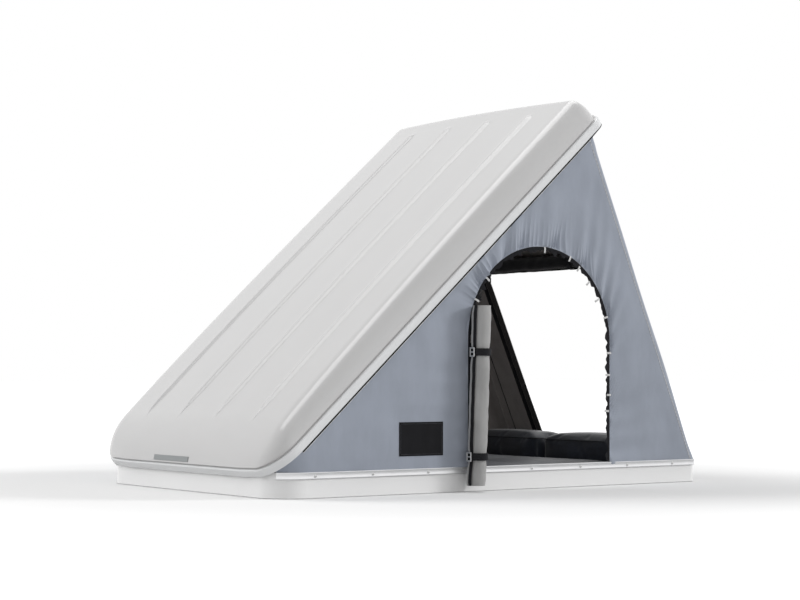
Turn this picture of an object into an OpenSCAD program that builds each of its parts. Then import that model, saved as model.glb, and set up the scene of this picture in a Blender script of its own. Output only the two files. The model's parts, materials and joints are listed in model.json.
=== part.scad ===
// Hard-shell roof top tent, standing open.
// Cloth walls hang between a tray and a lid that tilts up from the front.
// X runs along the tent with the hinge end at -X, Y across it and Z up.
// The origin is the centre of the underside.

/* [Base tray] */
// Length of the tray
base_l = 2100; // [2000:10:2200]
// Width of the tray
base_w = 1290; // [1230:10:1350]
// Height of the tray's rim above the ground
base_h = 94; // [90:1:100]
// Thickness of the tray's moulded wall
tray_wall = 6; // [4:0.5:8]
// Depth of the hollow under the tray's floor
skirt_h = 24; // [22:1:26]
// Thickness of the tray's moulded floor
tray_floor_t = 6; // [4:0.5:8]
// Plan radius of the tray's two hinge-end corners
front_r = 130; // [115:5:140]
// Plan radius of the tray's two rear corners
rear_r = 40; // [30:5:45]
// Height of the bead round the tray's foot
bead_h = 5; // [3:1:8]
// How far the foot bead stands out
bead_out = 2; // [1:0.5:3]
// Width of the moulded rib under the middle of the floor
rib_w = 60; // [40:5:90]
// Length of the moulded rib under the middle of the floor
rib_l = 1700; // [1500:50:1800]

/* [Lid] */
// Angle the lid stands open
open_angle = 41.6; // [38:0.2:43]
// How far the lid's nose overhangs the tray's front
nose_over = 20; // [18:1:24]
// How far the lid's rim overhangs each side of the tray
side_over = 10; // [9:0.5:12]
// How far the lid's tail overhangs the tray's rear
tail_over = 6; // [5:0.5:10]
// Plan radius of the lid's front corners
lid_front_r = 150; // [140:5:160]
// Plan radius of the lid's rear corners
lid_rear_r = 60; // [55:5:75]
// Thickness of the lid's moulded top
lid_t = 5; // [4:0.5:7]
// Height of the crown just behind the nose
crown_front = 112; // [110:1:120]
// Extra height that the crown gains towards the tail
crown_rise = 46; // [36:1:56]
// Distance over which most of that height is gained
crown_run = 700; // [500:50:900]
// How much lower the crown lies at the sides than on the centre line
crown_drop = 14; // [8:1:18]
// Length of the nose's slope
nose_run = 200; // [170:5:230]
// Width of the rounded shoulder along each side
shoulder_run = 85; // [70:5:95]
// Length of the rounded tail
tail_run = 60; // [50:5:75]
// Distance between the pressed ribs
rib_pitch = 267; // [240:1:280]
// Width of the flat top of a pressed rib
rib_top = 28; // [20:1:36]
// Width of each flank of a pressed rib
rib_flank = 8; // [6:1:12]
// Height of a pressed rib
rib_h = 8; // [5:0.5:10]
// How far the rear wall's head hangs in from the lid's tail
rear_set = 60; // [50:1:66]
// Thickness of the headliner
liner_t = 2.5; // [2:0.5:3]
// Length of the bare plate on the nose
nose_plate_l = 260; // [180:5:300]
// Width of the bare plate on the nose
nose_plate_w = 20; // [14:1:24]

/* [Hinges and struts] */
// Height of the hinge axis above the tray's rim
hinge_up = 4; // [3.9:0.1:5]
// Distance of the hinge axis behind the tray's front
hinge_back = 20; // [19:0.5:24]
// Outer radius of a hinge knuckle
knuckle_r = 7; // [6:0.5:8]
// Radius of a hinge pin
pin_r = 3.5; // [2.5:0.25:4]
// Length of one hinge
hinge_l = 90; // [70:5:120]
// Distance between the hinges
hinge_pitch = 450; // [400:10:480]
// Thickness of a hinge leaf
leaf_t = 3; // [2:0.5:4]
// Distance of both strut pivots from the hinge axis
strut_arm = 165; // [160:1:168]
// Angle of the lower strut pivot below the tray's rim plane
strut_low = 20; // [18:0.5:20]
// Angle of the upper strut pivot above the lid's rim plane
strut_high = 31; // [30:0.5:32]
// Distance of each strut from the centre line
strut_y = 585; // [582:1:588]
// Radius of a strut barrel
barrel_r = 10; // [9:0.5:11]
// Radius of a strut rod
rod_r = 4; // [3:0.25:5]

/* [Floor and mattress] */
// Thickness of the floor panel
floor_t = 12; // [10:1:14]
// Thickness of the mattress at its crown, lying flush with the tray's rim
mattress_t = 50; // [44:1:51]
// Height of the mattress's raised rear end, which is in two halves
raised_t = 158; // [150:1:160]
// Width of the mattress
mattress_w = 1096; // [1000:4:1104]
// Distance of the mattress's front end behind the tray's front
mattress_front_gap = 205; // [200:5:260]
// Distance of the mattress's rear end from the tray's rear
mattress_rear_gap = 110; // [100:5:160]
// Where the raised end begins, behind the middle of the tray
mattress_split = 716; // [690:2:730]

/* [Cloth] */
// Thickness of the cloth walls
cloth_t = 2; // [1.6:0.1:2.4]
// Height of the metal strips that clamp the cloth to the tray
strip_h = 24; // [20:1:26]
// Thickness of those strips
strip_t = 3; // [2:0.5:4]
// Distance between the strip rivets
rivet_pitch = 256; // [200:4:300]
// Radius of the side doorway's arch
arch_r = 368; // [340:4:388]
// Height of the centre of that arch above the ground
arch_z = 585; // [560:5:600]
// Distance of the doorway's centre behind the lid's hinge
arch_back = 1213; // [1205:1:1240]
// Width of the zip tape round the doorway
zip_w = 13; // [9:1:18]
// Depth of the puckers round the arch
pucker = 5; // [2:0.5:6]
// Distance of the sewn patch behind the tray's front
patch_back = 640; // [560:10:700]
// Height of the middle of the sewn patch
patch_z = 205; // [190:5:215]
// Width of the sewn patch
patch_w = 207; // [150:1:220]
// Height of the sewn patch
patch_h = 127; // [90:1:130]
// Radius of the rolled side door
roll_r = 41; // [36:1:44]
// Height of the top of the rolled side door
roll_top = 711; // [660:5:730]
// Height of the bottom of the rolled side door
roll_foot = 25; // [15:1:60]
// Width of the rear doorway
rear_door_w = 1080; // [1000:10:1100]
// Height of the rear doorway, up the slope of the rear wall
rear_door_h = 883; // [820:5:920]
// Radius of the rolled rear door
rear_roll_r = 36; // [30:1:40]

/* [Rails and latches] */
// Distance of each mounting rail from the centre line
rail_y = 400; // [350:5:450]
// Length of a mounting rail
rail_l = 1800; // [1600:50:1850]
// Width of a mounting rail
rail_w = 46; // [40:1:60]
// Width of the slot along a mounting rail
slot_w = 9; // [8:0.5:11]
// Distance of each latch from the centre line
latch_y = 380; // [300:10:450]

/* [Hidden] */
$fn = 48;

// Clearance between pieces that lie on each other
gap = 0.3;
// Running clearance of a pin in its bore
run_gap = 0.05;
// Overlap that lets a cut pass through a face
over = 1;
left = -1;
right = 1;

half_l = base_l / 2;
half_w = base_w / 2;
floor_z = skirt_h + tray_floor_t;
bed_z = floor_z + floor_t;
hinge_x = -half_l + hinge_back;
hinge_z = base_h + hinge_up;
arch_x = hinge_x + arch_back;
rim_z = hinge_z;

// Cloth lies outside the tray and inside the lid's rim, clamped by a strip below and a batten above
cloth_gap = 0.5;
cloth_mid = cloth_gap + cloth_t / 2;
cloth_room = cloth_t + 2 * cloth_gap;
strip_z = base_h - strip_h;
strip_start = 28;
strip_front_x = -half_l + strip_start;
rivet_z = base_h - 14;
rivet_r = 5.5;
rivet_h = 2.2;
first_rivet = 160;
batten_low = 5;
batten_top = 25;
batten_t = 3;
batten_front_x = -half_l + front_r + 5;

// The lid's outline, closed, at its rim
lid_x0 = -half_l - nose_over;
lid_x1 = half_l + tail_over;
lid_hw = half_w + side_over;
lip_in = side_over - cloth_room;
// Where the corner seam between side wall and rear wall meets the closed lid
seam_x = lid_x1 - lid_rear_r - rear_set;

// Sections of the rim, each as [distance in from the outline, height above the rim plane]
rim_outside = [[6.5, 41], [8.5, 34.5], [2, 31], [0, 27], [0, 2], [1.5, 0]];
rim_inside = [[lip_in, 0], [lip_in, 27], [13, 36]];
dome_in = rim_outside[0][0];
dome_foot = rim_outside[0][1];
vault_in = rim_inside[2][0];
vault_foot = rim_inside[2][1];

// The lid's grid stations: distances in from each edge of the dome
rib_front = 150;
rib_tail = 106;
rib_ramp = 40;
front_stations = [0, 12, 28, 50, 80, 115, rib_front, rib_front + 15, rib_front + rib_ramp];
tail_stations = [rib_tail + rib_ramp, rib_tail + 15, rib_tail, 85, 60, 40, 24, 12, 5, 0];
side_stations = [0, 4, 10, 20, 35, 55, 85];
mid_spans = 7;
dome_l = lid_x1 - lid_x0 - 2 * dome_in;
dome_hw = lid_hw - dome_in;
rib_ys = [-1.5 * rib_pitch, -0.5 * rib_pitch, 0.5 * rib_pitch, 1.5 * rib_pitch];
rib_half = rib_top / 2 + rib_flank;
mid_front = front_stations[len(front_stations) - 1];
mid_rear = dome_l - tail_stations[0];
lid_xs = concat(
    front_stations,
    [for (k = [1:mid_spans - 1]) mid_front + (mid_rear - mid_front) * k / mid_spans],
    [for (d = tail_stations) dome_l - d]
);
lid_ys = concat(
    [for (d = side_stations) -dome_hw + d],
    [for (k = [0:3]) each concat(
        [for (e = [-rib_half, -rib_top / 2, rib_top / 2, rib_half]) rib_ys[k] + e],
        k < 3 ? [(rib_ys[k] + rib_ys[k + 1]) / 2] : []
    )],
    [for (k = [len(side_stations) - 1:-1:0]) dome_hw - side_stations[k]]
);

// Strut pivots and lengths: both pivots lie at one arm from the hinge,
// so the strut turns half as far as the lid
eye_r = 9;
eye_t = 12;
stud_r = 4;
head_t = 3;
head_r = 6.5;
low_pivot = [hinge_x + strut_arm * cos(strut_low), hinge_z - strut_arm * sin(strut_low)];
high_turn = strut_high + open_angle;
high_pivot = [hinge_x + strut_arm * cos(high_turn), hinge_z + strut_arm * sin(high_turn)];
strut_angle = (high_turn - strut_low) / 2 + 90;
strut_shut = 2 * strut_arm * sin((strut_low + strut_high) / 2);
strut_long = 2 * strut_arm * sin((strut_low + high_turn) / 2);
guide_t = 4;
piston_t = 6;
barrel_end = strut_shut - eye_r - 5.6;
rod_l = strut_long - (barrel_end - guide_t - gap - piston_t);
barrel_floor = strut_shut - rod_l - 2;

// Rounded rectangle with its own corner radius at each end
module plan(x0, x1, hw, rf, rr) {
    mid = (x0 + x1) / 2;
    translate([x0 + rf, -hw]) square([x1 - x0 - rf - rr, 2 * hw]);
    translate([x0, rf - hw]) square([mid - x0, 2 * (hw - rf)]);
    translate([mid, rr - hw]) square([x1 - mid, 2 * (hw - rr)]);
    for (s = [left, right]) {
        translate([x0 + rf, s * (hw - rf)]) circle(rf);
        translate([x1 - rr, s * (hw - rr)]) circle(rr);
    }
}

// The tray's outline moved inwards
module tray_plan(inset) {
    plan(-half_l + inset, half_l - inset, half_w - inset, front_r - inset, rear_r - inset);
}

// The lid's closed outline moved inwards
module lid_plan(inset) {
    plan(lid_x0 + inset, lid_x1 - inset, lid_hw - inset, lid_front_r - inset, lid_rear_r - inset);
}

// Everything fixed to the lid is drawn closed and tilted open here
module on_lid() {
    translate([hinge_x, 0, hinge_z])
        rotate([0, -open_angle, 0])
            translate([-hinge_x, 0, -hinge_z]) children();
}

// A box between two corners
module block(low, high) {
    translate(low) cube(high - low);
}

// A cylinder along Y from y0 to y1
module cross_pin(x, z, r, y0, y1) {
    translate([x, max(y0, y1), z]) rotate([90, 0, 0]) cylinder(r = r, h = abs(y1 - y0));
}

// A solid between two grids of points, joined round their edges by loops of points
module slab(front, back, rims = []) {
    m = len(front) - 1;
    n = len(front[0]) - 1;
    cells = (m + 1) * (n + 1);
    edge = concat(
        [for (j = [0:n - 1]) j],
        [for (i = [0:m - 1]) i * (n + 1) + n],
        [for (j = [n:-1:1]) m * (n + 1) + j],
        [for (i = [m:-1:1]) i * (n + 1)]
    );
    count = len(edge);
    loops = concat(
        [edge],
        [for (k = [0:1:len(rims) - 1]) [for (p = [0:count - 1]) 2 * cells + k * count + p]],
        [[for (e = edge) cells + e]]
    );
    polyhedron(
        points = concat(
            [for (row = front) each row],
            [for (row = back) each row],
            [for (rim = rims) each rim]
        ),
        faces = concat(
            [for (i = [0:m - 1], j = [0:n - 1]) let (a = i * (n + 1) + j) each [
                [a, a + 1, a + n + 2], [a, a + n + 2, a + n + 1],
                [cells + a, cells + a + n + 2, cells + a + 1],
                [cells + a, cells + a + n + 1, cells + a + n + 2]
            ]],
            [for (k = [0:len(loops) - 2], p = [0:count - 1])
                let (q = (p + 1) % count, a = loops[k], b = loops[k + 1]) each [
                [a[p], b[p], b[q]], [a[p], b[q], a[q]]
            ]]
        )
    );
}

// A solid through a row of rings, closed by a fan at each end
module loft(rings) {
    n = len(rings[0]);
    m = len(rings);
    flat = [for (ring = rings) each ring];
    polyhedron(
        points = concat(flat, [mean(rings[0]), mean(rings[m - 1])]),
        faces = concat(
            [for (k = [0:m - 2], p = [0:n - 1]) let (q = (p + 1) % n) each [
                [k * n + p, k * n + q, (k + 1) * n + q], [k * n + p, (k + 1) * n + q, (k + 1) * n + p]
            ]],
            [for (p = [0:n - 1]) [m * n, (p + 1) % n, p]],
            [for (p = [0:n - 1]) [m * n + 1, (m - 1) * n + p, (m - 1) * n + (p + 1) % n]]
        )
    );
}

function mean(points) = [for (k = [0:2]) [for (p = points) p[k]] * [for (p = points) 1] / len(points)];
function mix(a, b, t) = a + (b - a) * t;
function clamp(t) = max(0, min(1, t));
// Share of its full height that a surface has reached at a distance in from its edge
function swell(d, run, p, q) = d >= run ? 1 : pow(1 - pow(1 - max(d, 0) / run, p), 1 / q);

// A grid point moved so that the grid's square corners become rounded ones
function rounded(x, y, x0, x1, hw, rf, rr) =
    let (
        front = x < (x0 + x1) / 2,
        r = front ? rf : rr,
        xc = front ? x0 + rf : x1 - rr,
        out = front ? -1 : 1,
        p = clamp((x - xc) * out / r),
        q = clamp((abs(y) - hw + r) / r)
    )
    p == 0 || q == 0 ? [x, y] : [
        xc + out * r * p * sqrt(1 - q * q / 2),
        sign(y) * (hw - r + r * q * sqrt(1 - p * p / 2))
    ];

// Plan position of lid grid point (i, j) when the outline is moved inwards
function lid_spot(i, j, inset) = rounded(
    mix(lid_x0 + inset, lid_x1 - inset, lid_xs[i] / dome_l), lid_ys[j] / dome_hw * (lid_hw - inset),
    lid_x0 + inset, lid_x1 - inset, lid_hw - inset, lid_front_r - inset, lid_rear_r - inset
);
function lid_crown(x, y) =
    crown_front + crown_rise * (1 - exp(-max(0, x + half_l) / crown_run)) - crown_drop * pow(y / lid_hw, 2);
function nose_swell(d) = swell(d, nose_run, 2.2, 1);
function side_swell(d) = swell(d, shoulder_run, 2.4, 1.6);
function tail_swell(d) = swell(d, tail_run, 2.4, 1.6);
function rib_lift(x, y) = rib_h
    * max([for (r = rib_ys) clamp((rib_half - abs(y - r)) / rib_flank)])
    * clamp((x - lid_x0 - dome_in - rib_front) / rib_ramp)
    * clamp((lid_x1 - dome_in - rib_tail - x) / rib_ramp);
// Height of the lid's outside, or of its inside where less is its thickness
function lid_point(i, j, inset, foot, less) =
    let (
        spot = lid_spot(i, j, inset),
        rise = nose_swell(lid_xs[i]) * tail_swell(dome_l - lid_xs[i]) * side_swell(dome_hw - abs(lid_ys[j]))
    )
    [spot[0], spot[1], rim_z + foot + (lid_crown(spot[0], spot[1]) - less - foot) * rise
        + (less > 0 ? 0 : rib_lift(spot[0], spot[1]))];
function lid_loop(inset, v) =
    let (m = len(lid_xs) - 1, n = len(lid_ys) - 1)
    [for (s = concat(
        [for (j = [0:n - 1]) [0, j]], [for (i = [0:m - 1]) [i, n]],
        [for (j = [n:-1:1]) [m, j]], [for (i = [m:-1:1]) [i, 0]]
    )) concat(lid_spot(s[0], s[1], inset), [rim_z + v])];
// Height of the lid's inside above the rim plane, on its straight stretches
function vault(x, y) =
    vault_foot + (lid_crown(x, y) - lid_t - vault_foot)
        * nose_swell(x - lid_x0 - vault_in) * side_swell(lid_hw - vault_in - abs(y));

// Where a point of the closed lid at height v above the rim stands when the lid is open, as [x, z]
function opened(x, v) = [
    hinge_x + (x - hinge_x) * cos(open_angle) - v * sin(open_angle),
    hinge_z + (x - hinge_x) * sin(open_angle) + v * cos(open_angle)
];
// Half width of an outline with rounded front corners at x
function half_width(x, x0, hw, r) =
    x >= x0 + r ? hw : hw - r + sqrt(max(0, r * r - pow(x0 + r - x, 2)));
// Distance of the cloth's middle from the centre line.
// It fans about the hinge from the tray's edge to the lid's.
function cloth_y(x, z) =
    let (
        arm = [x - hinge_x, z - hinge_z],
        rise = atan2(arm[1], arm[0]),
        reach = rise > open_angle ? arm * [cos(open_angle), sin(open_angle)]
            : arm[1] > 0 ? norm(arm)
            : arm[0],
        turn = clamp(rise / open_angle),
        low = half_width(hinge_x + reach, -half_l - cloth_mid, half_w + cloth_mid, front_r + cloth_mid),
        in = side_over - cloth_mid,
        ease = 2,
        high = half_width(hinge_x + reach, lid_x0 + in + ease, lid_hw - in, lid_front_r - in + ease)
    )
    mix(low, high, turn);

module base_tray() {
    color("whitesmoke") difference() {
        union() {
            linear_extrude(base_h) tray_plan(0);
            linear_extrude(bead_h) tray_plan(-bead_out);
        }
        translate([0, 0, floor_z]) linear_extrude(base_h) tray_plan(tray_wall);
        translate([0, 0, -over]) linear_extrude(skirt_h + over) difference() {
            tray_plan(tray_wall);
            square([rib_l, rib_w], center = true);
        }
    }
}

module floor_panel() {
    front_x = -half_l + tray_wall + 44;
    notch_x = low_pivot[0] + strut_arm * 0.58;
    notch_y = strut_y - barrel_r - 10;
    color("dimgray") translate([0, 0, floor_z]) linear_extrude(floor_t) difference() {
        tray_plan(tray_wall + gap);
        translate([-half_l - over, -half_w]) square([front_x + half_l + over, base_w]);
        for (s = [left, right])
            translate([-half_l, s > 0 ? notch_y : -half_w]) square([notch_x + half_l, half_w - notch_y]);
    }
}

// A crowned cushion of height t whose sides are drawn in.
// It lies on the floor panel from x0 to x1, and hw to each side.
module cushion(x0, x1, hw, t) {
    edges = [0, 10, 28, 60];
    soft_run = 34;
    foot_run = 14;
    corner_r = 45;
    draw = 9;
    sag = 9;
    low_seam = 0.22 * t;
    high_seam = 0.78 * t;
    foot = bed_z + gap;
    l = x1 - x0;
    spans = 4;
    last = edges[len(edges) - 1];
    xs = concat(edges, [for (k = [1:spans - 1]) mix(last, l - last, k / spans)],
        [for (k = [len(edges) - 1:-1:0]) l - edges[k]]);
    ys = concat([for (d = edges) d - hw], [for (k = [1:spans - 1]) mix(last - hw, hw - last, k / spans)],
        [for (k = [len(edges) - 1:-1:0]) hw - edges[k]]);
    function spot(x, y) =
        let (s = rounded(x0 + x, y, x0, x1, hw, corner_r, corner_r), along = 2 * x / l - 1)
        [s[0], s[1] * (1 - draw / hw * (1 - along * along))];
    function fullness(x, y, run) = swell(min(x, l - x), run, 2, 2) * swell(hw - abs(y), run, 2, 2);
    function top(x, y) =
        let (bow = (1 - pow(2 * x / l - 1, 2)) * (1 - pow(y / hw, 2)))
        high_seam + (t - sag * (1 - bow) - high_seam) * fullness(x, y, soft_run);
    function bottom(x, y) = low_seam * (1 - fullness(x, y, foot_run));
    slab(
        [for (x = xs) [for (y = ys) concat(spot(x, y), [foot + top(x, y)])]],
        [for (x = xs) [for (y = ys) concat(spot(x, y), [foot + bottom(x, y)])]]
    );
}

split_gap = 6;
module mattress_front() {
    color("darkslategray")
        cushion(-half_l + mattress_front_gap, mattress_split - split_gap, mattress_w / 2, mattress_t);
}
module mattress_rear() {
    half = mattress_w / 4 - split_gap / 2;
    color("darkslategray") for (s = [left, right]) translate([0, s * (split_gap + half), 0])
        cushion(mattress_split + split_gap, half_l - mattress_rear_gap, half, raised_t);
}

// The metal strip outside the cloth, all round the tray
module strip_ring() {
    translate([0, 0, strip_z]) linear_extrude(strip_h) difference() {
        tray_plan(-cloth_room - strip_t);
        tray_plan(-cloth_room);
    }
}
module side_strip(side) {
    reach = half_w + cloth_room + strip_t + over;
    color("silver") intersection() {
        strip_ring();
        block([strip_front_x, side > 0 ? 0 : -reach, 0], [half_l - rear_r, side > 0 ? reach : 0, base_h]);
    }
}
module left_strip() side_strip(left);
module right_strip() side_strip(right);
module rear_strip() {
    reach = half_w + cloth_room + strip_t + over;
    color("silver") intersection() {
        strip_ring();
        block([half_l - rear_r, -reach, 0], [half_l + reach, reach, base_h]);
    }
}
module rivet() {
    cylinder(r1 = rivet_r, r2 = rivet_r * 0.7, h = rivet_h);
}
module strip_rivets() {
    face = half_w + cloth_room + strip_t;
    rear_pitch = 240;
    color("gainsboro") {
        for (x = [-half_l + first_rivet:rivet_pitch:half_l - rear_r - rivet_r], s = [left, right])
            translate([x, s * face, rivet_z]) rotate([-90 * s, 0, 0]) rivet();
        for (k = [-2:2])
            translate([half_l + cloth_room + strip_t, k * rear_pitch, rivet_z]) rotate([0, 90, 0]) rivet();
    }
}

// Extruded rail with a T-slot along its underside
module mounting_rail(side) {
    lip_t = 5;
    chamber = [22, 9];
    color("lightgray") translate([-rail_l / 2, side * rail_y, 0]) rotate([90, 0, 90]) linear_extrude(rail_l)
        difference() {
            translate([-rail_w / 2, 0]) square([rail_w, skirt_h]);
            translate([-slot_w / 2, -over]) square([slot_w, lip_t + 2 * over]);
            translate([-chamber[0] / 2, lip_t]) square(chamber);
        }
}
module left_rail() mounting_rail(left);
module right_rail() mounting_rail(right);
cap_t = 4;
module rail_end_caps() {
    color("dimgray") for (s = [left, right], e = [-1, 1])
        translate([e * (rail_l + cap_t) / 2, s * rail_y, skirt_h / 2])
            cube([cap_t, rail_w, skirt_h], center = true);
}

// Each hinge has a base leaf with two outer knuckles and a lid leaf with the middle one, on one pin
mid_knuckle = hinge_l * 0.4;
knuckle_gap = 0.4;
module knuckle(y0, y1) {
    difference() {
        cross_pin(hinge_x, hinge_z, knuckle_r, y0, y1);
        cross_pin(hinge_x, hinge_z, pin_r + run_gap, y0 - over, y1 + over);
    }
}
module hinge_base_leaf(y) {
    back_x = -half_l + tray_wall;
    foot_z = base_h - 50;
    tab_z = hinge_z - knuckle_r;
    color("silver") translate([0, y, 0]) {
        block([back_x, -hinge_l / 2, foot_z], [back_x + leaf_t, hinge_l / 2, tab_z]);
        for (s = [left, right]) {
            inner = s * (mid_knuckle / 2 + knuckle_gap);
            outer = s * hinge_l / 2;
            knuckle(min(inner, outer), max(inner, outer));
            difference() {
                block([back_x, min(inner, outer), tab_z - leaf_t],
                    [hinge_x, max(inner, outer), tab_z + leaf_t]);
                cross_pin(hinge_x, hinge_z, pin_r + run_gap, -hinge_l, hinge_l);
            }
        }
    }
}
module left_hinge_base_leaf() hinge_base_leaf(-hinge_pitch);
module centre_hinge_base_leaf() hinge_base_leaf(0);
module right_hinge_base_leaf() hinge_base_leaf(hinge_pitch);
module hinge_pin(y) {
    cap = 2;
    color("gray") translate([0, y, 0]) {
        cross_pin(hinge_x, hinge_z, pin_r, -hinge_l / 2, hinge_l / 2);
        for (s = [left, right])
            cross_pin(hinge_x, hinge_z, knuckle_r * 0.75, s * hinge_l / 2, s * (hinge_l / 2 + cap));
    }
}
module left_hinge_pin() hinge_pin(-hinge_pitch);
module centre_hinge_pin() hinge_pin(0);
module right_hinge_pin() hinge_pin(hinge_pitch);
lid_leaf_h = 44;
module hinge_lid_leaf(y) {
    back_x = hinge_x + knuckle_r;
    color("silver") on_lid() translate([0, y, 0]) {
        knuckle(-mid_knuckle / 2, mid_knuckle / 2);
        difference() {
            block([back_x - leaf_t, -mid_knuckle / 2, hinge_z], [back_x, mid_knuckle / 2, hinge_z + 14]);
            cross_pin(hinge_x, hinge_z, pin_r + run_gap, -hinge_l, hinge_l);
        }
        block([back_x - leaf_t, -hinge_l / 2, hinge_z + 12], [back_x, hinge_l / 2, hinge_z + lid_leaf_h]);
    }
}
module left_hinge_lid_leaf() hinge_lid_leaf(-hinge_pitch);
module centre_hinge_lid_leaf() hinge_lid_leaf(0);
module right_hinge_lid_leaf() hinge_lid_leaf(hinge_pitch);

// Batten moulded into the nose, which the hinges are screwed to
module front_batten() {
    x0 = hinge_x + knuckle_r;
    x1 = x0 + 32;
    half = hinge_pitch + 0.6 * hinge_l;
    low = rim_z + 10;
    top_gap = 2;
    color("burlywood") on_lid() translate([0, half, 0]) rotate([90, 0, 0]) linear_extrude(2 * half)
        polygon([
            [x0, low], [x1, low],
            [x1, rim_z + vault(x1, half) - top_gap], [x0, rim_z + vault(x0, half) - top_gap]
        ]);
}

module lid_shell() {
    m = len(lid_xs) - 1;
    n = len(lid_ys) - 1;
    color("gainsboro") on_lid() slab(
        [for (i = [0:m]) [for (j = [0:n]) lid_point(i, j, dome_in, dome_foot, 0)]],
        [for (i = [0:m]) [for (j = [0:n]) lid_point(i, j, vault_in, vault_foot, lid_t)]],
        concat(
            [for (k = [1:len(rim_outside) - 1]) lid_loop(rim_outside[k][0], rim_outside[k][1])],
            [for (k = [0:1]) lid_loop(rim_inside[k][0], rim_inside[k][1])]
        )
    );
}

// Quilted lining that follows the inside of the lid's top
module lid_liner() {
    front_x = lid_x0 + rib_front + rib_ramp;
    rear_x = lid_x1 - tail_run - 30;
    hw = lid_hw - shoulder_run - 20;
    spans = [14, 8];
    liner_gap = 1.6;
    function under(a, b, less) =
        let (x = mix(front_x, rear_x, a / spans[0]), y = mix(-hw, hw, b / spans[1]))
        [x, y, rim_z + vault(x, y) - liner_gap - less];
    color("gray") on_lid() slab(
        [for (a = [0:spans[0]]) [for (b = [0:spans[1]]) under(a, b, 0)]],
        [for (a = [0:spans[0]]) [for (b = [0:spans[1]]) under(a, b, liner_t)]]
    );
}

seal_t = hinge_up - gap;
module lid_seal() {
    color("black") on_lid() translate([0, 0, rim_z - seal_t]) linear_extrude(seal_t) difference() {
        lid_plan(1.5);
        lid_plan(lip_in);
        translate([lid_x0 - over, -lid_hw]) square([lid_front_r + over, 2 * lid_hw]);
    }
}

module side_batten(side) {
    x1 = seam_x;
    y0 = side * (half_w - batten_t);
    y1 = side * half_w;
    color("silver") on_lid()
        block([batten_front_x, min(y0, y1), rim_z + batten_low], [x1, max(y0, y1), rim_z + batten_top]);
}
module left_batten() side_batten(left);
module right_batten() side_batten(right);
// Angle that hangs the rear wall's head.
// The cloth is clamped to its leg, and its flange reaches the tail's rim.
rear_face = lid_x1 - lip_in - cloth_room - rear_set;
module rear_batten() {
    half = lid_hw - lid_rear_r - 20;
    hem_clear = 1;
    flange_low = batten_top + hem_clear;
    flange_top = flange_low + batten_t;
    rim_share = (flange_top - rim_inside[1][1]) / (rim_inside[2][1] - rim_inside[1][1]);
    seat_x = lid_x1 - mix(rim_inside[1][0], rim_inside[2][0], rim_share) - gap;
    color("silver") on_lid() {
        block([rear_face - batten_t, -half, rim_z + batten_low], [rear_face, half, rim_z + flange_top]);
        block([rear_face - batten_t, -half, rim_z + flange_low], [seat_x, half, rim_z + flange_top]);
    }
}

// Bare metal plate on the slope of the nose
module nose_plate() {
    plate = [nose_plate_w, nose_plate_l, 1.5];
    centre_y = 60;
    d = 13;
    x = lid_x0 + dome_in + d;
    v = dome_foot + (lid_crown(x, centre_y) - dome_foot) * nose_swell(d);
    tilt = atan((lid_crown(x, 0) - dome_foot) * (nose_swell(d + 8) - nose_swell(d - 8)) / 16);
    color("silver") on_lid() translate([x, centre_y, rim_z + v]) rotate([0, -tilt, 0])
        translate([0, 0, plate[2] / 2 + 0.6]) cube(plate, center = true);
}

// Stud on the tray's wall that carries the foot of a strut
module strut_stud(side) {
    wall = half_w - tray_wall;
    plate_t = 4;
    plate = 44;
    y_wall = side * wall;
    y_in = side * (wall - plate_t);
    eye_out = side * (strut_y + eye_t / 2 + gap);
    eye_in = side * (strut_y - eye_t / 2 - gap);
    low = max(floor_z, low_pivot[1] - plate / 2);
    color("dimgray") {
        block([low_pivot[0] - plate / 2, min(y_wall, y_in), low],
            [low_pivot[0] + plate / 2, max(y_wall, y_in), low + plate]);
        cross_pin(low_pivot[0], low_pivot[1], eye_r, y_in, eye_out);
        cross_pin(low_pivot[0], low_pivot[1], stud_r, y_in, eye_in);
        cross_pin(low_pivot[0], low_pivot[1], head_r, eye_in, eye_in - side * head_t);
    }
}
module left_strut_stud() strut_stud(left);
module right_strut_stud() strut_stud(right);

// Bracket on the lid's side batten that carries the head of a strut
module strut_bracket(side) {
    x = hinge_x + strut_arm * cos(strut_high);
    z = hinge_z + strut_arm * sin(strut_high);
    leaf = 4;
    half = 20;
    foot_in = half_w - batten_t;
    arm_y = strut_y + barrel_r + 2;
    web_z = rim_z + batten_top + 1;
    eye_out = side * (strut_y + eye_t / 2 + gap);
    eye_in = side * (strut_y - eye_t / 2 - gap);
    color("dimgray") on_lid() {
        mirror([0, side > 0 ? 0 : 1, 0]) {
            block([x - half, foot_in - leaf, rim_z + batten_low], [x + half, foot_in, web_z + leaf]);
            block([x - half, arm_y, web_z], [x + half, foot_in, web_z + leaf]);
            block([x - half, arm_y, web_z], [x + half, arm_y + leaf, z]);
        }
        cross_pin(x, z, head_r, eye_out, side * (arm_y + leaf));
        cross_pin(x, z, stud_r, side * arm_y, eye_in);
        cross_pin(x, z, head_r, eye_in, eye_in - side * head_t);
    }
}
module left_strut_bracket() strut_bracket(left);
module right_strut_bracket() strut_bracket(right);

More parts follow.
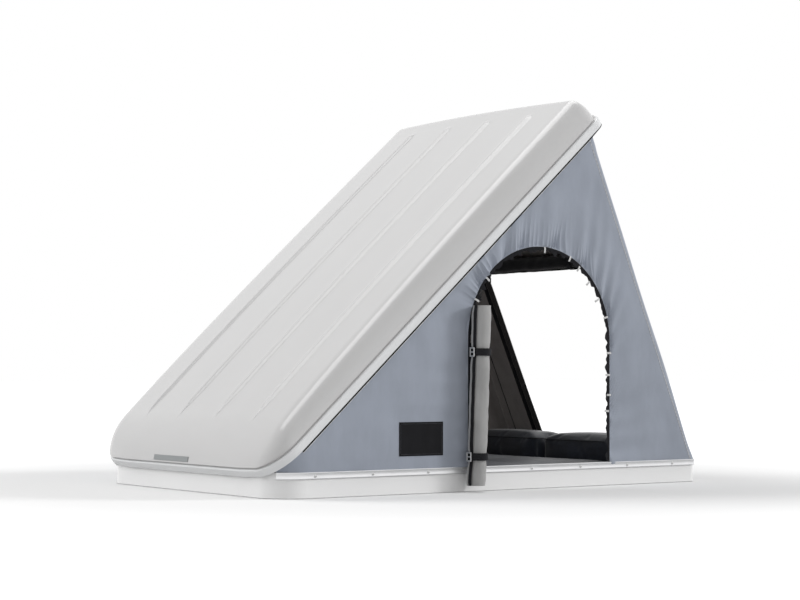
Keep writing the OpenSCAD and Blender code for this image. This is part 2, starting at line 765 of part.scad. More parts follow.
// A strut's own frame: +X from one pivot towards the other
module at_pivot(pivot, side, turn) {
    translate([pivot[0], side * strut_y, pivot[1]]) rotate([0, -turn, 0]) children();
}
module eye() {
    rotate([90, 0, 0]) cylinder(r = eye_r, h = eye_t, center = true);
}
module eye_bore() {
    rotate([90, 0, 0]) cylinder(r = stud_r + run_gap, h = eye_t + 2 * over, center = true);
}
module along(x0, x1, r) {
    translate([x0, 0, 0]) rotate([0, 90, 0]) cylinder(r = r, h = x1 - x0);
}
module strut_barrel(side) {
    bore_r = barrel_r - 2;
    color("black") at_pivot(low_pivot, side, strut_angle) difference() {
        union() {
            eye();
            along(eye_r * 0.6, barrel_floor, eye_t / 2);
            along(barrel_floor - 6, barrel_end, barrel_r);
        }
        along(barrel_floor, barrel_end - guide_t, bore_r);
        along(barrel_end - guide_t - over, barrel_end + over, rod_r + gap);
        eye_bore();
    }
}
module left_strut_barrel() strut_barrel(left);
module right_strut_barrel() strut_barrel(right);
module strut_rod(side) {
    piston_r = barrel_r - 2 - gap;
    color("silver") at_pivot(high_pivot, side, strut_angle + 180) difference() {
        union() {
            eye();
            along(eye_r * 0.6, rod_l, rod_r);
            along(rod_l - piston_t, rod_l, piston_r);
        }
        eye_bore();
    }
}
module left_strut_rod() strut_rod(left);
module right_strut_rod() strut_rod(right);

// Padlock hasps at the rear: a strap on the tray swings up over a staple on the lid
hasp_w = 44;
hasp_t = 3;
hasp_pin_r = 2.5;
hasp_knuckle_r = 5;
hasp_z = base_h - 14;
plate_t = 2.5;
latch_face = half_l + cloth_room + strip_t + gap;
hasp_x = latch_face + plate_t + hasp_knuckle_r;
staple_z = rim_z + 15;
staple_h = 14;
staple_t = 6;
hasp_room = 2;
module latch_plate(side) {
    foot_z = 28;
    strap_gap = 0.5;
    end_w = 9;
    color("gray") translate([0, side * latch_y, 0]) {
        block([half_l, -hasp_w / 2, foot_z], [latch_face, hasp_w / 2, strip_z - over]);
        block([latch_face, -hasp_w / 2, foot_z], [latch_face + plate_t, hasp_w / 2, hasp_z]);
        for (s = [left, right]) {
            y0 = min(s * (hasp_w / 2 - end_w), s * hasp_w / 2);
            cross_pin(hasp_x, hasp_z, hasp_knuckle_r, y0, y0 + end_w);
            block([latch_face, y0, hasp_z - hasp_knuckle_r], [hasp_x, y0 + end_w, hasp_z]);
        }
        cross_pin(hasp_x, hasp_z, hasp_pin_r, -hasp_w / 2, hasp_w / 2);
    }
}
module left_latch_plate() latch_plate(left);
module right_latch_plate() latch_plate(right);
module hasp(side) {
    end_w = 9;
    half = hasp_w / 2 - end_w - 0.5;
    slot_far = staple_z + staple_h / 2 + hasp_room - hasp_z;
    slot_near = staple_z - staple_h / 2 - hasp_room - hasp_z;
    tip = slot_far + 8;
    color("silver") translate([hasp_x, side * latch_y, hasp_z]) difference() {
        union() {
            cross_pin(0, 0, hasp_knuckle_r, -half, half);
            block([-hasp_t / 2, -half, -tip], [hasp_t / 2, half, 0]);
        }
        cross_pin(0, 0, hasp_pin_r + run_gap, -hasp_w, hasp_w);
        block([-hasp_t, -staple_t / 2 - hasp_room, -slot_far],
            [hasp_t, staple_t / 2 + hasp_room, -slot_near]);
    }
}
module left_hasp() hasp(left);
module right_hasp() hasp(right);
module latch_staple(side) {
    foot_t = 2;
    tip_x = hasp_x + 12;
    hole_r = 3.5;
    color("gray") on_lid() translate([0, side * latch_y, 0]) {
        low = staple_z - staple_h / 2;
        high = staple_z + staple_h / 2 - 4;
        block([lid_x1, -hasp_w / 4, low - 1], [lid_x1 + foot_t, hasp_w / 4, high]);
        difference() {
            block([lid_x1, -staple_t / 2, low], [tip_x, staple_t / 2, high]);
            cross_pin(tip_x - 5, staple_z - 2, hole_r, -hasp_w, hasp_w);
        }
    }
}
module left_latch_staple() latch_staple(left);
module right_latch_staple() latch_staple(right);

// Point at a share t of the way round the doorway's edge, from its front foot over the arch to its rear foot
foot_z = strip_z;
function arch_spot(t) =
    let (
        side = arch_z - foot_z,
        round = PI * arch_r,
        along = t * (2 * side + round),
        turn = (along - side) / arch_r * 180 / PI
    )
    along <= side ? [arch_x - arch_r, foot_z + along]
    : along >= side + round ? [arch_x + arch_r, arch_z - (along - side - round)]
    : [arch_x - arch_r * cos(turn), arch_z + arch_r * sin(turn)];
// Corner seam between a side wall and the rear wall, from the tray's strip along the slope and into the lid
seam_low = [half_l - rear_r, base_h];
seam_high = opened(seam_x, 0);
seam_hem = opened(seam_x, batten_top);
// The side wall's own corners, from its front foot round to its rear foot, and the spans between them
wall_front = hinge_x + 30;
wall_corners = [
    [wall_front, foot_z], opened(wall_front + 6, batten_top), opened(batten_front_x, batten_top),
    seam_hem, seam_high, seam_low, [seam_low[0], foot_z]
];
wall_spans = [2, 5, 23, 1, 17, 1];
wall_runs = [for (k = [0:5]) norm(wall_corners[k + 1] - wall_corners[k])];
wall_starts = [for (k = 0, far = 0; k < 6; far = far + wall_runs[k], k = k + 1) far];
wall_total = wall_starts[5] + wall_runs[5];
wall_shares = concat(
    [for (k = [0:5], e = [0:wall_spans[k] - 1])
        (wall_starts[k] + wall_runs[k] * e / wall_spans[k]) / wall_total],
    [1]
);
function wall_edge(t) =
    let (k = max([for (e = [0:5]) t * wall_total >= wall_starts[e] ? e : 0]))
    mix(wall_corners[k], wall_corners[k + 1], (t * wall_total - wall_starts[k]) / wall_runs[k]);
// Puckers that fan out from the arch and die away towards the wall's edges and the doorway's feet
pucker_count = 9;
function puckered(t, r) =
    pucker * sin(360 * pucker_count * t) * clamp(8 * t - 1) * clamp(7 - 8 * t)
    * exp(-6 * r) * clamp(r / 0.06) * clamp(10 - 11 * r);
rows = concat([0, 0.06, 0.16, 0.36], [for (k = [0:6]) 0.9 + 0.1 * k / 6]);
module side_wall(side) {
    function spot(t, r, out) =
        let (p = mix(arch_spot(t), wall_edge(t), r))
        [p[0], side * (cloth_y(p[0], p[1]) + puckered(t, r) + out * cloth_t / 2), p[1]];
    function sheet(out) = [for (t = wall_shares) [for (r = rows) spot(t, r, out)]];
    color("slategray") slab(sheet(-side), sheet(side));
}
module left_wall() side_wall(left);
module right_wall() side_wall(right);

// A doorway's outline standing in the side wall, moved inwards
module arch_plan(inset) {
    r = arch_r - inset;
    translate([arch_x, arch_z]) circle(r);
    translate([arch_x - r, base_h + gap]) square([2 * r, arch_z - base_h - gap]);
}
door_gap = 0.9;
module in_wall(side, t) {
    translate([0, side * (half_w + cloth_mid) + t / 2, 0]) rotate([90, 0, 0]) linear_extrude(t) children();
}
module door_zip(side) {
    color("black") in_wall(side, 2) difference() {
        arch_plan(door_gap);
        arch_plan(door_gap + zip_w);
        translate([arch_x - arch_r, 0]) square([2 * arch_r, base_h + 2 * gap]);
    }
}
module left_door_zip() door_zip(left);
module right_door_zip() door_zip(right);
module right_door_panel() {
    color("slategray") in_wall(right, cloth_t) arch_plan(2 * door_gap + zip_w);
}
// Two zip pulls that hang from the tape near the top of the rolled door
module left_zip_pulls() {
    pull = [9, 3, 34];
    outer = -(half_w + cloth_mid + 1);
    color("black") for (turn = [32, 44]) {
        x = arch_x - (arch_r - door_gap - zip_w / 2) * cos(turn);
        z = arch_z + (arch_r - door_gap - zip_w / 2) * sin(turn);
        block([x - pull[0] / 2, outer - pull[1], z - pull[2]], [x + pull[0] / 2, outer, z]);
    }
}

// Rolled cloth along a line: the section is one turn of a spiral, drawn in where ties hold it
roll_sides = 30;
tie_hold = 0.03;
tie_reach = 0.07;
tie_waist = 0.89;
end_waist = 0.93;
end_reach = 0.012;
function rolled(a, b, u, v, r, ties) = [
    for (ring = concat(
        [[0, end_waist], [end_reach, 1]],
        [for (tie = ties) each [
            [tie - tie_reach, 1], [tie - tie_hold, tie_waist],
            [tie + tie_hold, tie_waist], [tie + tie_reach, 1]
        ]],
        [[1 - end_reach, 1], [1, end_waist]]
    ))
    [for (p = [0:roll_sides - 1]) let (
        turn = 360 * p / roll_sides,
        wind = r * ring[1] * (0.94 + 0.06 * p / roll_sides) * (1 + 0.012 * sin(3 * turn + 200 * ring[0]))
    ) mix(a, b, ring[0]) + u * wind * cos(turn) + v * wind * sin(turn)]
];
roll_clear = 6;
roll_axis_y = half_w + cloth_room + strip_t + rivet_h + roll_r + gap;
roll_lean = 30;
roll_x = arch_x - arch_r + 36;
roll_a = [roll_x, -(roll_axis_y - roll_clear), roll_top];
roll_b = [roll_x - roll_lean, -roll_axis_y, roll_foot];
strap_w = 28;
strap_shares = [0.26, 0.84];
module left_door_roll() {
    ties = [for (k = [1, 0]) 1 - strap_shares[k]];
    color("lightslategray") loft(rolled(roll_b, roll_a, [1, 0, 0], [0, 1, 0], roll_r, ties));
}
// A webbing band round the roll, sewn to the wall by its tail
module roll_strap(share) {
    centre = mix(roll_a, roll_b, share);
    band = 1.5;
    tail = 24;
    inner = roll_r * 0.935;
    wall = -(half_w + cloth_mid + cloth_t / 2 + gap);
    color("black") {
        translate(centre) difference() {
            cylinder(r = inner + band, h = strap_w, center = true);
            cylinder(r = inner, h = strap_w + over, center = true);
        }
        block([centre[0] - tail / 2, centre[1] + inner, centre[2] - strap_w / 2],
            [centre[0] + tail / 2, wall, centre[2] + strap_w / 2]);
    }
}
module upper_roll_strap() roll_strap(strap_shares[0]);
module lower_roll_strap() roll_strap(strap_shares[1]);
module strap_buckles() {
    buckle = [5, 26, 36];
    color("silver") for (share = strap_shares) {
        centre = mix(roll_a, roll_b, share);
        x = centre[0] - roll_r * 0.935 - 1.5 - gap;
        block([x - buckle[0], centre[1] - buckle[1] / 2, centre[2] - buckle[2] / 2],
            [x, centre[1] + buckle[1] / 2, centre[2] + buckle[2] / 2]);
    }
}
// Plain patch sewn to the left wall
module wall_patch() {
    t = 1.2;
    x = -half_l + patch_back;
    y = -(half_w + cloth_mid + cloth_t / 2 + gap);
    color("black") block([x - patch_w / 2, y - t, patch_z - patch_h / 2],
        [x + patch_w / 2, y, patch_z + patch_h / 2]);
}

// The rear wall hangs in a plane from the lid's tail to the tray's rear; s is the way up it from its hem
rear_low = [half_l + cloth_mid, base_h];
rear_high = opened(rear_face + cloth_mid, 0);
rear_hem = opened(rear_face + cloth_mid, batten_top);
rear_slope = norm(rear_high - rear_low);
rear_dir = (rear_high - rear_low) / rear_slope;
rear_out = [rear_dir[1], -rear_dir[0]];
rear_top = strip_h + rear_slope + batten_top;
rear_door_top = strip_h + rear_door_h;
function rear_spot(s) =
    s <= strip_h ? [rear_low[0], strip_z + s]
    : s <= strip_h + rear_slope ? rear_low + rear_dir * (s - strip_h)
    : mix(rear_high, rear_hem, (s - strip_h - rear_slope) / batten_top);
// The seam's point level with s, and the corner radius that the cloth takes there
function seam_spot(s) =
    s <= strip_h ? [seam_low[0], strip_z + s]
    : s <= strip_h + rear_slope ? mix(seam_low, seam_high, (s - strip_h) / rear_slope)
    : mix(seam_high, seam_hem, (s - strip_h - rear_slope) / batten_top);
seam_turn = 87;
seam_ease = 2;
function corner_r(s) = mix(rear_r + cloth_mid, lid_rear_r - side_over + cloth_mid + seam_ease,
    clamp((s - strip_h) / rear_slope));
rear_hw = half_w + cloth_mid;
// Points of the doorway's edge and of the outer edge, matched as [y, s, y, s];
// y past the flat runs round the corner
rear_steps = [0, 0.05, 0.17, 0.35, 0.55, 0.75, 0.93, 1 - batten_top / (rear_top - strip_h), 1];
rear_up = concat(
    [[0, 0]],
    [for (f = rear_steps) [mix(strip_h, rear_door_top, f), mix(strip_h, rear_top, f)]]
);
function rear_knot(y, up) = [y * rear_door_w / 2, up[0], y * rear_hw, up[1]];
rear_columns = [-0.97, -0.94, -0.915, -0.6, -0.3, 0, 0.3, 0.6, 0.915, 0.94, 0.97];
hem_share = (rear_top - batten_top - rear_door_top) / (rear_top - rear_door_top);
module rear_wall() {
    top = len(rear_up) - 1;
    knots = concat(
        [for (k = [0:top]) rear_knot(-1, rear_up[k])],
        [for (y = rear_columns) rear_knot(y, rear_up[top])],
        [for (k = [top:-1:0]) rear_knot(1, rear_up[k])]
    );
    shares = concat([0, 0.26], [for (k = [0:8]) mix(0.52, hem_share, k / 8)], [1]);
    sway = 4;
    function spot(knot, r, out) =
        let (
            p = mix([knot[0], knot[1]], [knot[2], knot[3]], r),
            s = p[1],
            free = clamp((s - strip_h) / 80) * clamp((rear_top - batten_top - s) / 80),
            round = corner_r(s),
            flat = rear_hw - round,
            turn = seam_turn * clamp((abs(p[0]) - flat) / round),
            wave = sway * free * sin(p[0] * 1.1 + 30) * sin(180 * r) * clamp(5 * r - 1) * cos(turn),
            lift = out * cloth_t / 2 + wave,
            at = mix(rear_spot(s), seam_spot(s), 1 - cos(turn)),
            y = turn > 0 ? sign(p[0]) * (flat + round * sin(turn)) : p[0],
            push = lift * [rear_out[0] * cos(turn), sign(p[0]) * sin(turn), rear_out[1] * cos(turn)]
        )
        [at[0], y, at[1]] + push;
    function sheet(out) = [for (k = knots) [for (r = shares) spot(k, r, out)]];
    color("slategray") slab(sheet(1), sheet(-1));
}
// Flat pieces in the rear wall's plane, drawn as [y, way up the slope], from depth outwards
module in_rear(depth, t) {
    lean = atan2(rear_dir[0], rear_dir[1]);
    translate([rear_low[0], 0, rear_low[1]]) rotate([0, lean, 0]) rotate([90, 0, 90])
        translate([0, 0, depth]) linear_extrude(t) children();
}
flap_foot_y = 302;
flap_head_y = 328;
flap_gap = 0.6;
flap_low = 6;
binding_w = 34;
module rear_flap() {
    far = rear_door_w / 2 - flap_gap;
    high = rear_door_h - flap_gap;
    color("rosybrown") in_rear(-cloth_t / 2, cloth_t)
        polygon([[flap_foot_y, flap_low], [far, flap_low], [far, high], [flap_head_y, high]]);
}
module rear_flap_binding() {
    high = rear_door_h - flap_gap;
    t = 1.2;
    color("black") in_rear(-cloth_t / 2 - t - gap, t)
        polygon([
            [flap_foot_y, flap_low], [flap_foot_y + binding_w, flap_low],
            [flap_head_y + binding_w, high], [flap_head_y, high]
        ]);
}
// The rear door rolled up inside the wall, above its doorway
rear_roll_share = [0.2, 0.8];
rear_roll_in = rear_roll_r + cloth_t + 5;
rear_roll_centre = rear_low + rear_dir * (rear_door_h + rear_roll_r + 4) - rear_out * rear_roll_in;
rear_roll_half = rear_door_w / 2 - 15;
module rear_door_roll() {
    a = [rear_roll_centre[0], -rear_roll_half, rear_roll_centre[1]];
    b = [rear_roll_centre[0], rear_roll_half, rear_roll_centre[1]];
    color("black") loft(rolled(a, b, [0, 0, 1], [1, 0, 0], rear_roll_r, rear_roll_share));
}
module rear_roll_ties() {
    inner = rear_roll_r * 0.935;
    band = 1.5;
    color("black") for (share = rear_roll_share)
        translate([rear_roll_centre[0], mix(-rear_roll_half, rear_roll_half, share), rear_roll_centre[1]])
            rotate([90, 0, 0]) {
                difference() {
                    cylinder(r = inner + band, h = strap_w, center = true);
                    cylinder(r = inner, h = strap_w + over, center = true);
                }
                rotate([0, 0, atan2(rear_out[1], rear_out[0])])
                    block([inner, -strap_w / 2, -strap_w / 2],
                        [rear_roll_in - cloth_t / 2 - gap, strap_w / 2, strap_w / 2]);
            }
}

base_tray();
floor_panel();
mattress_front();
mattress_rear();
left_strip();
right_strip();
rear_strip();
strip_rivets();
left_rail();
right_rail();
rail_end_caps();
left_hinge_base_leaf();
centre_hinge_base_leaf();
right_hinge_base_leaf();
left_hinge_pin();
centre_hinge_pin();
right_hinge_pin();
left_strut_stud();
right_strut_stud();
left_latch_plate();
right_latch_plate();
lid_shell();
lid_liner();
lid_seal();
left_batten();
right_batten();
rear_batten();
front_batten();
nose_plate();
left_hinge_lid_leaf();
centre_hinge_lid_leaf();
right_hinge_lid_leaf();
left_strut_bracket();
right_strut_bracket();
left_latch_staple();
right_latch_staple();
left_strut_barrel();
right_strut_barrel();
left_strut_rod();
right_strut_rod();
left_hasp();
right_hasp();
left_wall();
right_wall();
rear_wall();
left_door_zip();
left_zip_pulls();
left_door_roll();
upper_roll_strap();
lower_roll_strap();
strap_buckles();
wall_patch();
right_door_panel();
right_door_zip();
rear_flap();
rear_flap_binding();
rear_door_roll();
rear_roll_ties();
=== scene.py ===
"""Looks of a hard-shell roof top tent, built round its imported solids.

X runs along the tent with the hinge end at -X, Y across it and Z up. Shapes are worked out in millimetres,
as functions on numpy grids that repeat the part's own sizes, and become meshes in metres.
"""

from __future__ import annotations

import json
import logging
import math
from dataclasses import dataclass
from enum import Enum
from typing import Any, Sequence

import bmesh
import bpy
import numpy as np
from mathutils import Euler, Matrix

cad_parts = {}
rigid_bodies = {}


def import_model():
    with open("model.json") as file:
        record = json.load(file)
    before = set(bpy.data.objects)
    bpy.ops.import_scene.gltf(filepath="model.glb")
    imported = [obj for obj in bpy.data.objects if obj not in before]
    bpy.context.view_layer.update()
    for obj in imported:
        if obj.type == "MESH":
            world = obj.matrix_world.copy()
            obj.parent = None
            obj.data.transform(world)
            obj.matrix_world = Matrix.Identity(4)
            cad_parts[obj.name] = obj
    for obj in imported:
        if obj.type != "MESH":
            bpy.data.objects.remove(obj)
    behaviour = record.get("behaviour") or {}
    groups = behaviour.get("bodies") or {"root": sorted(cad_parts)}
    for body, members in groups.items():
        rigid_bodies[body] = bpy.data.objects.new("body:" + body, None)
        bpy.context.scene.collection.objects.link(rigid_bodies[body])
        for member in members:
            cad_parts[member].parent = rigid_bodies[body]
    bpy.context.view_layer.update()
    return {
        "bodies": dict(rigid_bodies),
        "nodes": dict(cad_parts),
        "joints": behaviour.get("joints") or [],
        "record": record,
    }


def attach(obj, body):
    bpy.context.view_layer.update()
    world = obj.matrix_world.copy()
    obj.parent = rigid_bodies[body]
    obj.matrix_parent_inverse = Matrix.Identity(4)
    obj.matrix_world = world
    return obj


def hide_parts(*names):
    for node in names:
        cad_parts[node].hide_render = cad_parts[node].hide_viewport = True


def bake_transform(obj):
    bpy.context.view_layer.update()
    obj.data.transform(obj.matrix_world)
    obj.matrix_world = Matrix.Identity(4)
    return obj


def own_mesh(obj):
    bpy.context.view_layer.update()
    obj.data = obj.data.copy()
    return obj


LOG = logging.getLogger("roof_tent")
MM = 0.001
Array = np.ndarray
Colour = tuple[float, float, float]
Triple = tuple[float, float, float]
Pairs = tuple[tuple[float, float], ...]

# The tray, its corner radii, and the hinge line about which the lid stands open.
BASE_L, BASE_W, BASE_H = 2100.0, 1290.0, 94.0
HALF_L, HALF_W = BASE_L / 2, BASE_W / 2
FRONT_R, REAR_R = 130.0, 40.0
HINGE_X, HINGE_Z = -1030.0, 98.0
OPEN = math.radians(41.6)
# How far the cloth stands off the tray, and half of its thickness.
CLOTH_OUT, HALF_CLOTH = 1.5, 0.8
# Foot of the clamp strips, how far behind the nose they start, and the level on which the cushions lie.
STRIP_Z, STRIP_START, BED_Z = 70.0, 28.0, 42.0
# The rear seams at the shut lid and at the tray, the rear wall's head on the lid, and the battens' height.
SEAM_X, SEAM_FOOT_X = 936.0, 1010.0
TAIL_X = 987.5
BATTEN = 25.0
# Front, half width and corner radius of the line on which the cloth meets the lid.
HEM_FRONT, HEM_HALF, HEM_R = -1059.5, 646.5, 143.5
# Middle and size of the patch on the left wall.
PATCH_X, PATCH_Z, PATCH_W, PATCH_H = -410.0, 205.0, 207.0, 127.0
# A Mix node's factor, two colours and result go by number: each name has one socket for every data type.
MIX_SHARE, MIX_FIRST, MIX_SECOND, MIX_RESULT = 0, 6, 7, 2


class Side(Enum):
    """The two long sides of the tent, by the sign of Y."""

    LEFT = -1
    RIGHT = 1


def smoothstep(value: Array | float, low: float, high: float) -> Array:
    """Ease from 0 at low to 1 at high with flat ends: 3t^2 - 2t^3 of the clipped share t."""
    share = np.clip((np.asarray(value, float) - low) / (high - low), 0.0, 1.0)
    return share * share * (3.0 - 2.0 * share)


def lerp(first: Array | float, second: Array | float, share: Array | float) -> Array:
    """Straight mix of two values: first at share 0, second at share 1."""
    return first + (second - first) * share


def steps(first: tuple[float, float, int], second: tuple[float, float, int]) -> tuple[Array, ...]:
    """Grid of two even parameters, each given by its start, its end and how many values it has."""
    return tuple(np.meshgrid(np.linspace(*first), np.linspace(*second), indexing="ij"))


def round_angles(count: int) -> Array:
    """Even angles of a full turn, in radians, without its end."""
    return np.linspace(0, 2 * math.pi, count + 1)[:-1]


def opened(points: Array) -> Array:
    """Tilt points of the closed lid up about the hinge line.

    Args:
        points: Positions with the lid shut, last axis X, Y, Z in millimetres.

    Returns:
        The same points turned about the hinge by the angle at which the lid stands open.
    """
    x, z = points[..., 0] - HINGE_X, points[..., 2] - HINGE_Z
    cos, sin = math.cos(OPEN), math.sin(OPEN)
    return np.stack([HINGE_X + x * cos - z * sin, points[..., 1], HINGE_Z + x * sin + z * cos], axis=-1)


class Ripple:
    """Seeded sums of sines that stand for the loose waves of cloth."""

    def __init__(self, seed: int, waves: int, low: float, high: float) -> None:
        """Draw the waves.

        Args:
            seed: Seed of the random draws.
            waves: How many sines are summed.
            low: Shortest wavelength in millimetres.
            high: Longest wavelength in millimetres.
        """
        draw = np.random.default_rng(seed)
        length = draw.uniform(low, high, waves)
        turn = draw.uniform(0, math.pi, waves)
        self.kx = 2 * math.pi / length * np.cos(turn)
        self.ky = 2 * math.pi / length * np.sin(turn)
        self.phase = draw.uniform(0, 2 * math.pi, waves)
        self.gain = 1 / math.sqrt(waves)

    def at(self, a: Array, b: Array) -> Array:
        """Height of the waves at plane coordinates a, b, with a spread of about 1."""
        angle = a[..., None] * self.kx + b[..., None] * self.ky + self.phase
        return self.gain * np.sin(angle).sum(axis=-1)


class Socket:
    """A shader socket that takes part in Python arithmetic: each operator adds a Math node."""

    def __init__(self, tree: "FinishTree", link: bpy.types.NodeSocket | None) -> None:
        """Wrap one output socket of a tree."""
        self.tree = tree
        self.link = link

    def _math(self, operation: str, first: Any, second: Any) -> "Socket":
        """Add a Math node that works on two values or sockets."""
        return self.tree.add("ShaderNodeMath", {"operation": operation}, {0: first, 1: second})

    def __add__(self, other: Any) -> "Socket":
        """Sum."""
        return self._math("ADD", self, other)

    __radd__ = __add__

    def __sub__(self, other: Any) -> "Socket":
        """Difference."""
        return self._math("SUBTRACT", self, other)

    def __rsub__(self, other: Any) -> "Socket":
        """Difference from a plain number."""
        return self._math("SUBTRACT", other, self)

    def __mul__(self, other: Any) -> "Socket":
        """Product."""
        return self._math("MULTIPLY", self, other)

    __rmul__ = __mul__

    def largest(self, other: Any) -> "Socket":
        """The larger of two values."""
        return self._math("MAXIMUM", self, other)

    def spread(self, low: float, high: float, to_low: float, to_high: float) -> "Socket":
        """Ease the range low to high on to another range, clipped at its ends.

        Args:
            low: Value that becomes to_low.
            high: Value that becomes to_high.
            to_low: Start of the new range.
            to_high: End of the new range.

        Returns:
            The eased value.
        """
        return self.tree.add(
            "ShaderNodeMapRange",
            {"interpolation_type": "SMOOTHSTEP"},
            {"Value": self, "From Min": low, "From Max": high, "To Min": to_low, "To Max": to_high},
        )


class FinishTree:
    """The node tree of one material or world."""

    def __init__(self, name: str, kind: str = "materials") -> None:
        """Start an empty tree.

        Args:
            name: Name of the new material or world.
            kind: Which of Blender's collections it belongs to.
        """
        self.owner = getattr(bpy.data, kind).new(name)
        self.owner.use_nodes = True
        self.tree = self.owner.node_tree
        self.tree.nodes.clear()

    def add(
        self,
        kind: str,
        settings: dict[str, Any] | None = None,
        sockets: dict[Any, Any] | None = None,
        out: Any = 0,
    ) -> Socket:
        """Add a node.

        Args:
            kind: Blender's name of the node's type.
            settings: The node's own settings, set first.
            sockets: Values or links of its inputs, by name or number.
            out: Name or number of the output that is wanted.

        Returns:
            That output, ready for arithmetic.
        """
        node = self.tree.nodes.new(kind)
        for key, value in (settings or {}).items():
            setattr(node, key, value)
        for key, value in (sockets or {}).items():
            if isinstance(value, Socket):
                self.tree.links.new(value.link, node.inputs[key])
            else:
                node.inputs[key].default_value = value
        return Socket(self, node.outputs[out] if node.outputs else None)

    def place(self, scale: Sequence[float] = (1, 1, 1), turn: Sequence[float] = (0, 0, 0)) -> Socket:
        """Object coordinates, scaled and turned.

        Args:
            scale: Factor along each axis.
            turn: Turn about each axis in degrees.

        Returns:
            The mapped vector.
        """
        spot = self.add("ShaderNodeTexCoord", out="Object")
        return self.add(
            "ShaderNodeMapping",
            {"vector_type": "POINT"},
            {"Vector": spot, "Rotation": tuple(math.radians(t) for t in turn), "Scale": tuple(scale)},
        )

    def noise(
        self, scale: float, detail: float = 2.0, rough: float = 0.5, at: Socket | None = None
    ) -> Socket:
        """Fractal noise between 0 and 1 with that many lumps a metre.

        Args:
            scale: Lumps a metre.
            detail: How many finer layers are added.
            rough: Weight of the finer layers.
            at: Coordinates, or None for plain object coordinates.

        Returns:
            The noise.
        """
        spot = at or self.place()
        return self.add(
            "ShaderNodeTexNoise",
            sockets={"Vector": spot, "Scale": scale, "Detail": detail, "Roughness": rough},
        )

    def wave(self, scale: float, axis: str, at: Socket | None = None, bend: float = 0.0) -> Socket:
        """Sine bands along an axis, from 0 to 1, with scale setting how close they lie.

        Args:
            scale: How close the bands lie.
            axis: Axis that they follow, by Blender's name.
            at: Coordinates, or None for plain object coordinates.
            bend: How much they wander.

        Returns:
            The bands.
        """
        return self.add(
            "ShaderNodeTexWave",
            {"wave_type": "BANDS", "bands_direction": axis, "wave_profile": "SIN"},
            {"Vector": at or self.place(), "Scale": scale, "Distortion": bend, "Detail": 1.0},
            out=1,
        )

    def tint(self, share: Socket | float, first: Socket | Colour, second: Colour) -> Socket:
        """Mix two colours by a share.

        Args:
            share: Share of the second colour.
            first: A plain colour, or one that already varies.
            second: A plain colour.

        Returns:
            The mixed colour.
        """
        start = first if isinstance(first, Socket) else rgba(first)
        ends = {MIX_SHARE: share, MIX_FIRST: start, MIX_SECOND: rgba(second)}
        return self.add("ShaderNodeMix", {"data_type": "RGBA"}, ends, out=MIX_RESULT)

    def bump(self, height: Socket, depth: float, strength: float = 1.0) -> Socket:
        """Normal of a height that varies from 0 to 1, with its depth in metres."""
        return self.add("ShaderNodeBump", sockets={"Height": height, "Distance": depth, "Strength": strength})

    def finish(self, sockets: dict[str, Any]) -> bpy.types.Material:
        """Feed the surface shader and the output.

        Args:
            sockets: Values or links of the Principled shader's inputs.

        Returns:
            The material.
        """
        shader = self.add("ShaderNodeBsdfPrincipled", sockets=sockets)
        self.add("ShaderNodeOutputMaterial", sockets={"Surface": shader})
        return self.owner


def shade(colour: Colour, factor: float) -> Colour:
    """A colour made darker or lighter by a factor."""
    return tuple(min(1.0, c * factor) for c in colour)


def rgba(colour: Colour) -> tuple[float, float, float, float]:
    """A colour with full alpha."""
    return (*colour, 1.0)


@dataclass(frozen=True)
class GelCoat:
    """Glossy gel coat over moulded glass fibre: faint flow marks, orange peel and dust in the low places."""

    name: str
    colour: Colour
    roughness: float = 0.3

    def material(self) -> bpy.types.Material:
        """Build the finish.

        Returns:
            The new material.
        """
        tree = FinishTree(self.name)
        flow = tree.noise(2.3, 3.0, 0.55)
        speck = tree.noise(420.0, 2.0, 0.6)
        base = tree.tint(flow.spread(0.3, 0.7, 0, 1), shade(self.colour, 0.988), shade(self.colour, 1.012))
        colour = tree.tint(speck.spread(0.62, 0.8, 0, 0.1), base, shade(self.colour, 0.8))
        peel = tree.noise(95.0, 1.5, 0.45)
        rough = self.roughness + (flow - 0.5) * 0.03 + (speck - 0.5) * 0.05
        return tree.finish(
            {
                "Base Color": colour,
                "Roughness": rough,
                "Coat Weight": 0.8,
                "Coat Roughness": 0.11,
                "IOR": 1.5,
                "Normal": tree.bump(peel, 0.00003, 0.5),
            }
        )


@dataclass(frozen=True)
class Canvas:
    """Plain-woven tent cloth: two sets of threads, slubs, soft mottling and a dusty sheen."""

    name: str
    colour: Colour
    thread: float = 0.0011
    mottle: float = 0.055
    sheen: float = 0.25
    turn: Triple = (0.0, 0.0, 0.0)

    def material(self) -> bpy.types.Material:
        """Build the finish.

        Returns:
            The new material.
        """
        tree = FinishTree(self.name)
        threads = math.pi * 2 / self.thread / 20 / math.pi
        at = tree.place(turn=self.turn)
        warp = tree.wave(threads, "X", at, 0.6)
        weft = tree.wave(threads * 0.92, "Z", at, 0.6)
        weave = warp.largest(weft * 0.9)
        streak = tree.noise(9.0, 3.0, 0.6, tree.place((1.6, 1.6, 0.5), self.turn))
        cloud = tree.noise(5.0, 4.0, 0.55)
        slub = tree.noise(900.0, 1.0, 0.5, tree.place((1, 1, 0.08), self.turn))
        low, high = shade(self.colour, 1 - self.mottle), shade(self.colour, 1 + self.mottle)
        base = tree.tint((streak * 0.55 + cloud * 0.45).spread(0.35, 0.65, 0, 1), low, high)
        gaps = (1 - weave) * 0.22 + slub.spread(0.6, 0.8, 0, 0.12)
        colour = tree.tint(gaps, base, shade(self.colour, 0.62))
        return tree.finish(
            {
                "Base Color": colour,
                "Roughness": 0.86 + (cloud - 0.5) * 0.14,
                "Specular IOR Level": 0.15,
                "Sheen Weight": self.sheen,
                "Sheen Roughness": 0.45,
                "Normal": tree.bump(weave + slub * 0.5, self.thread * 0.25, 0.6),
            }
        )


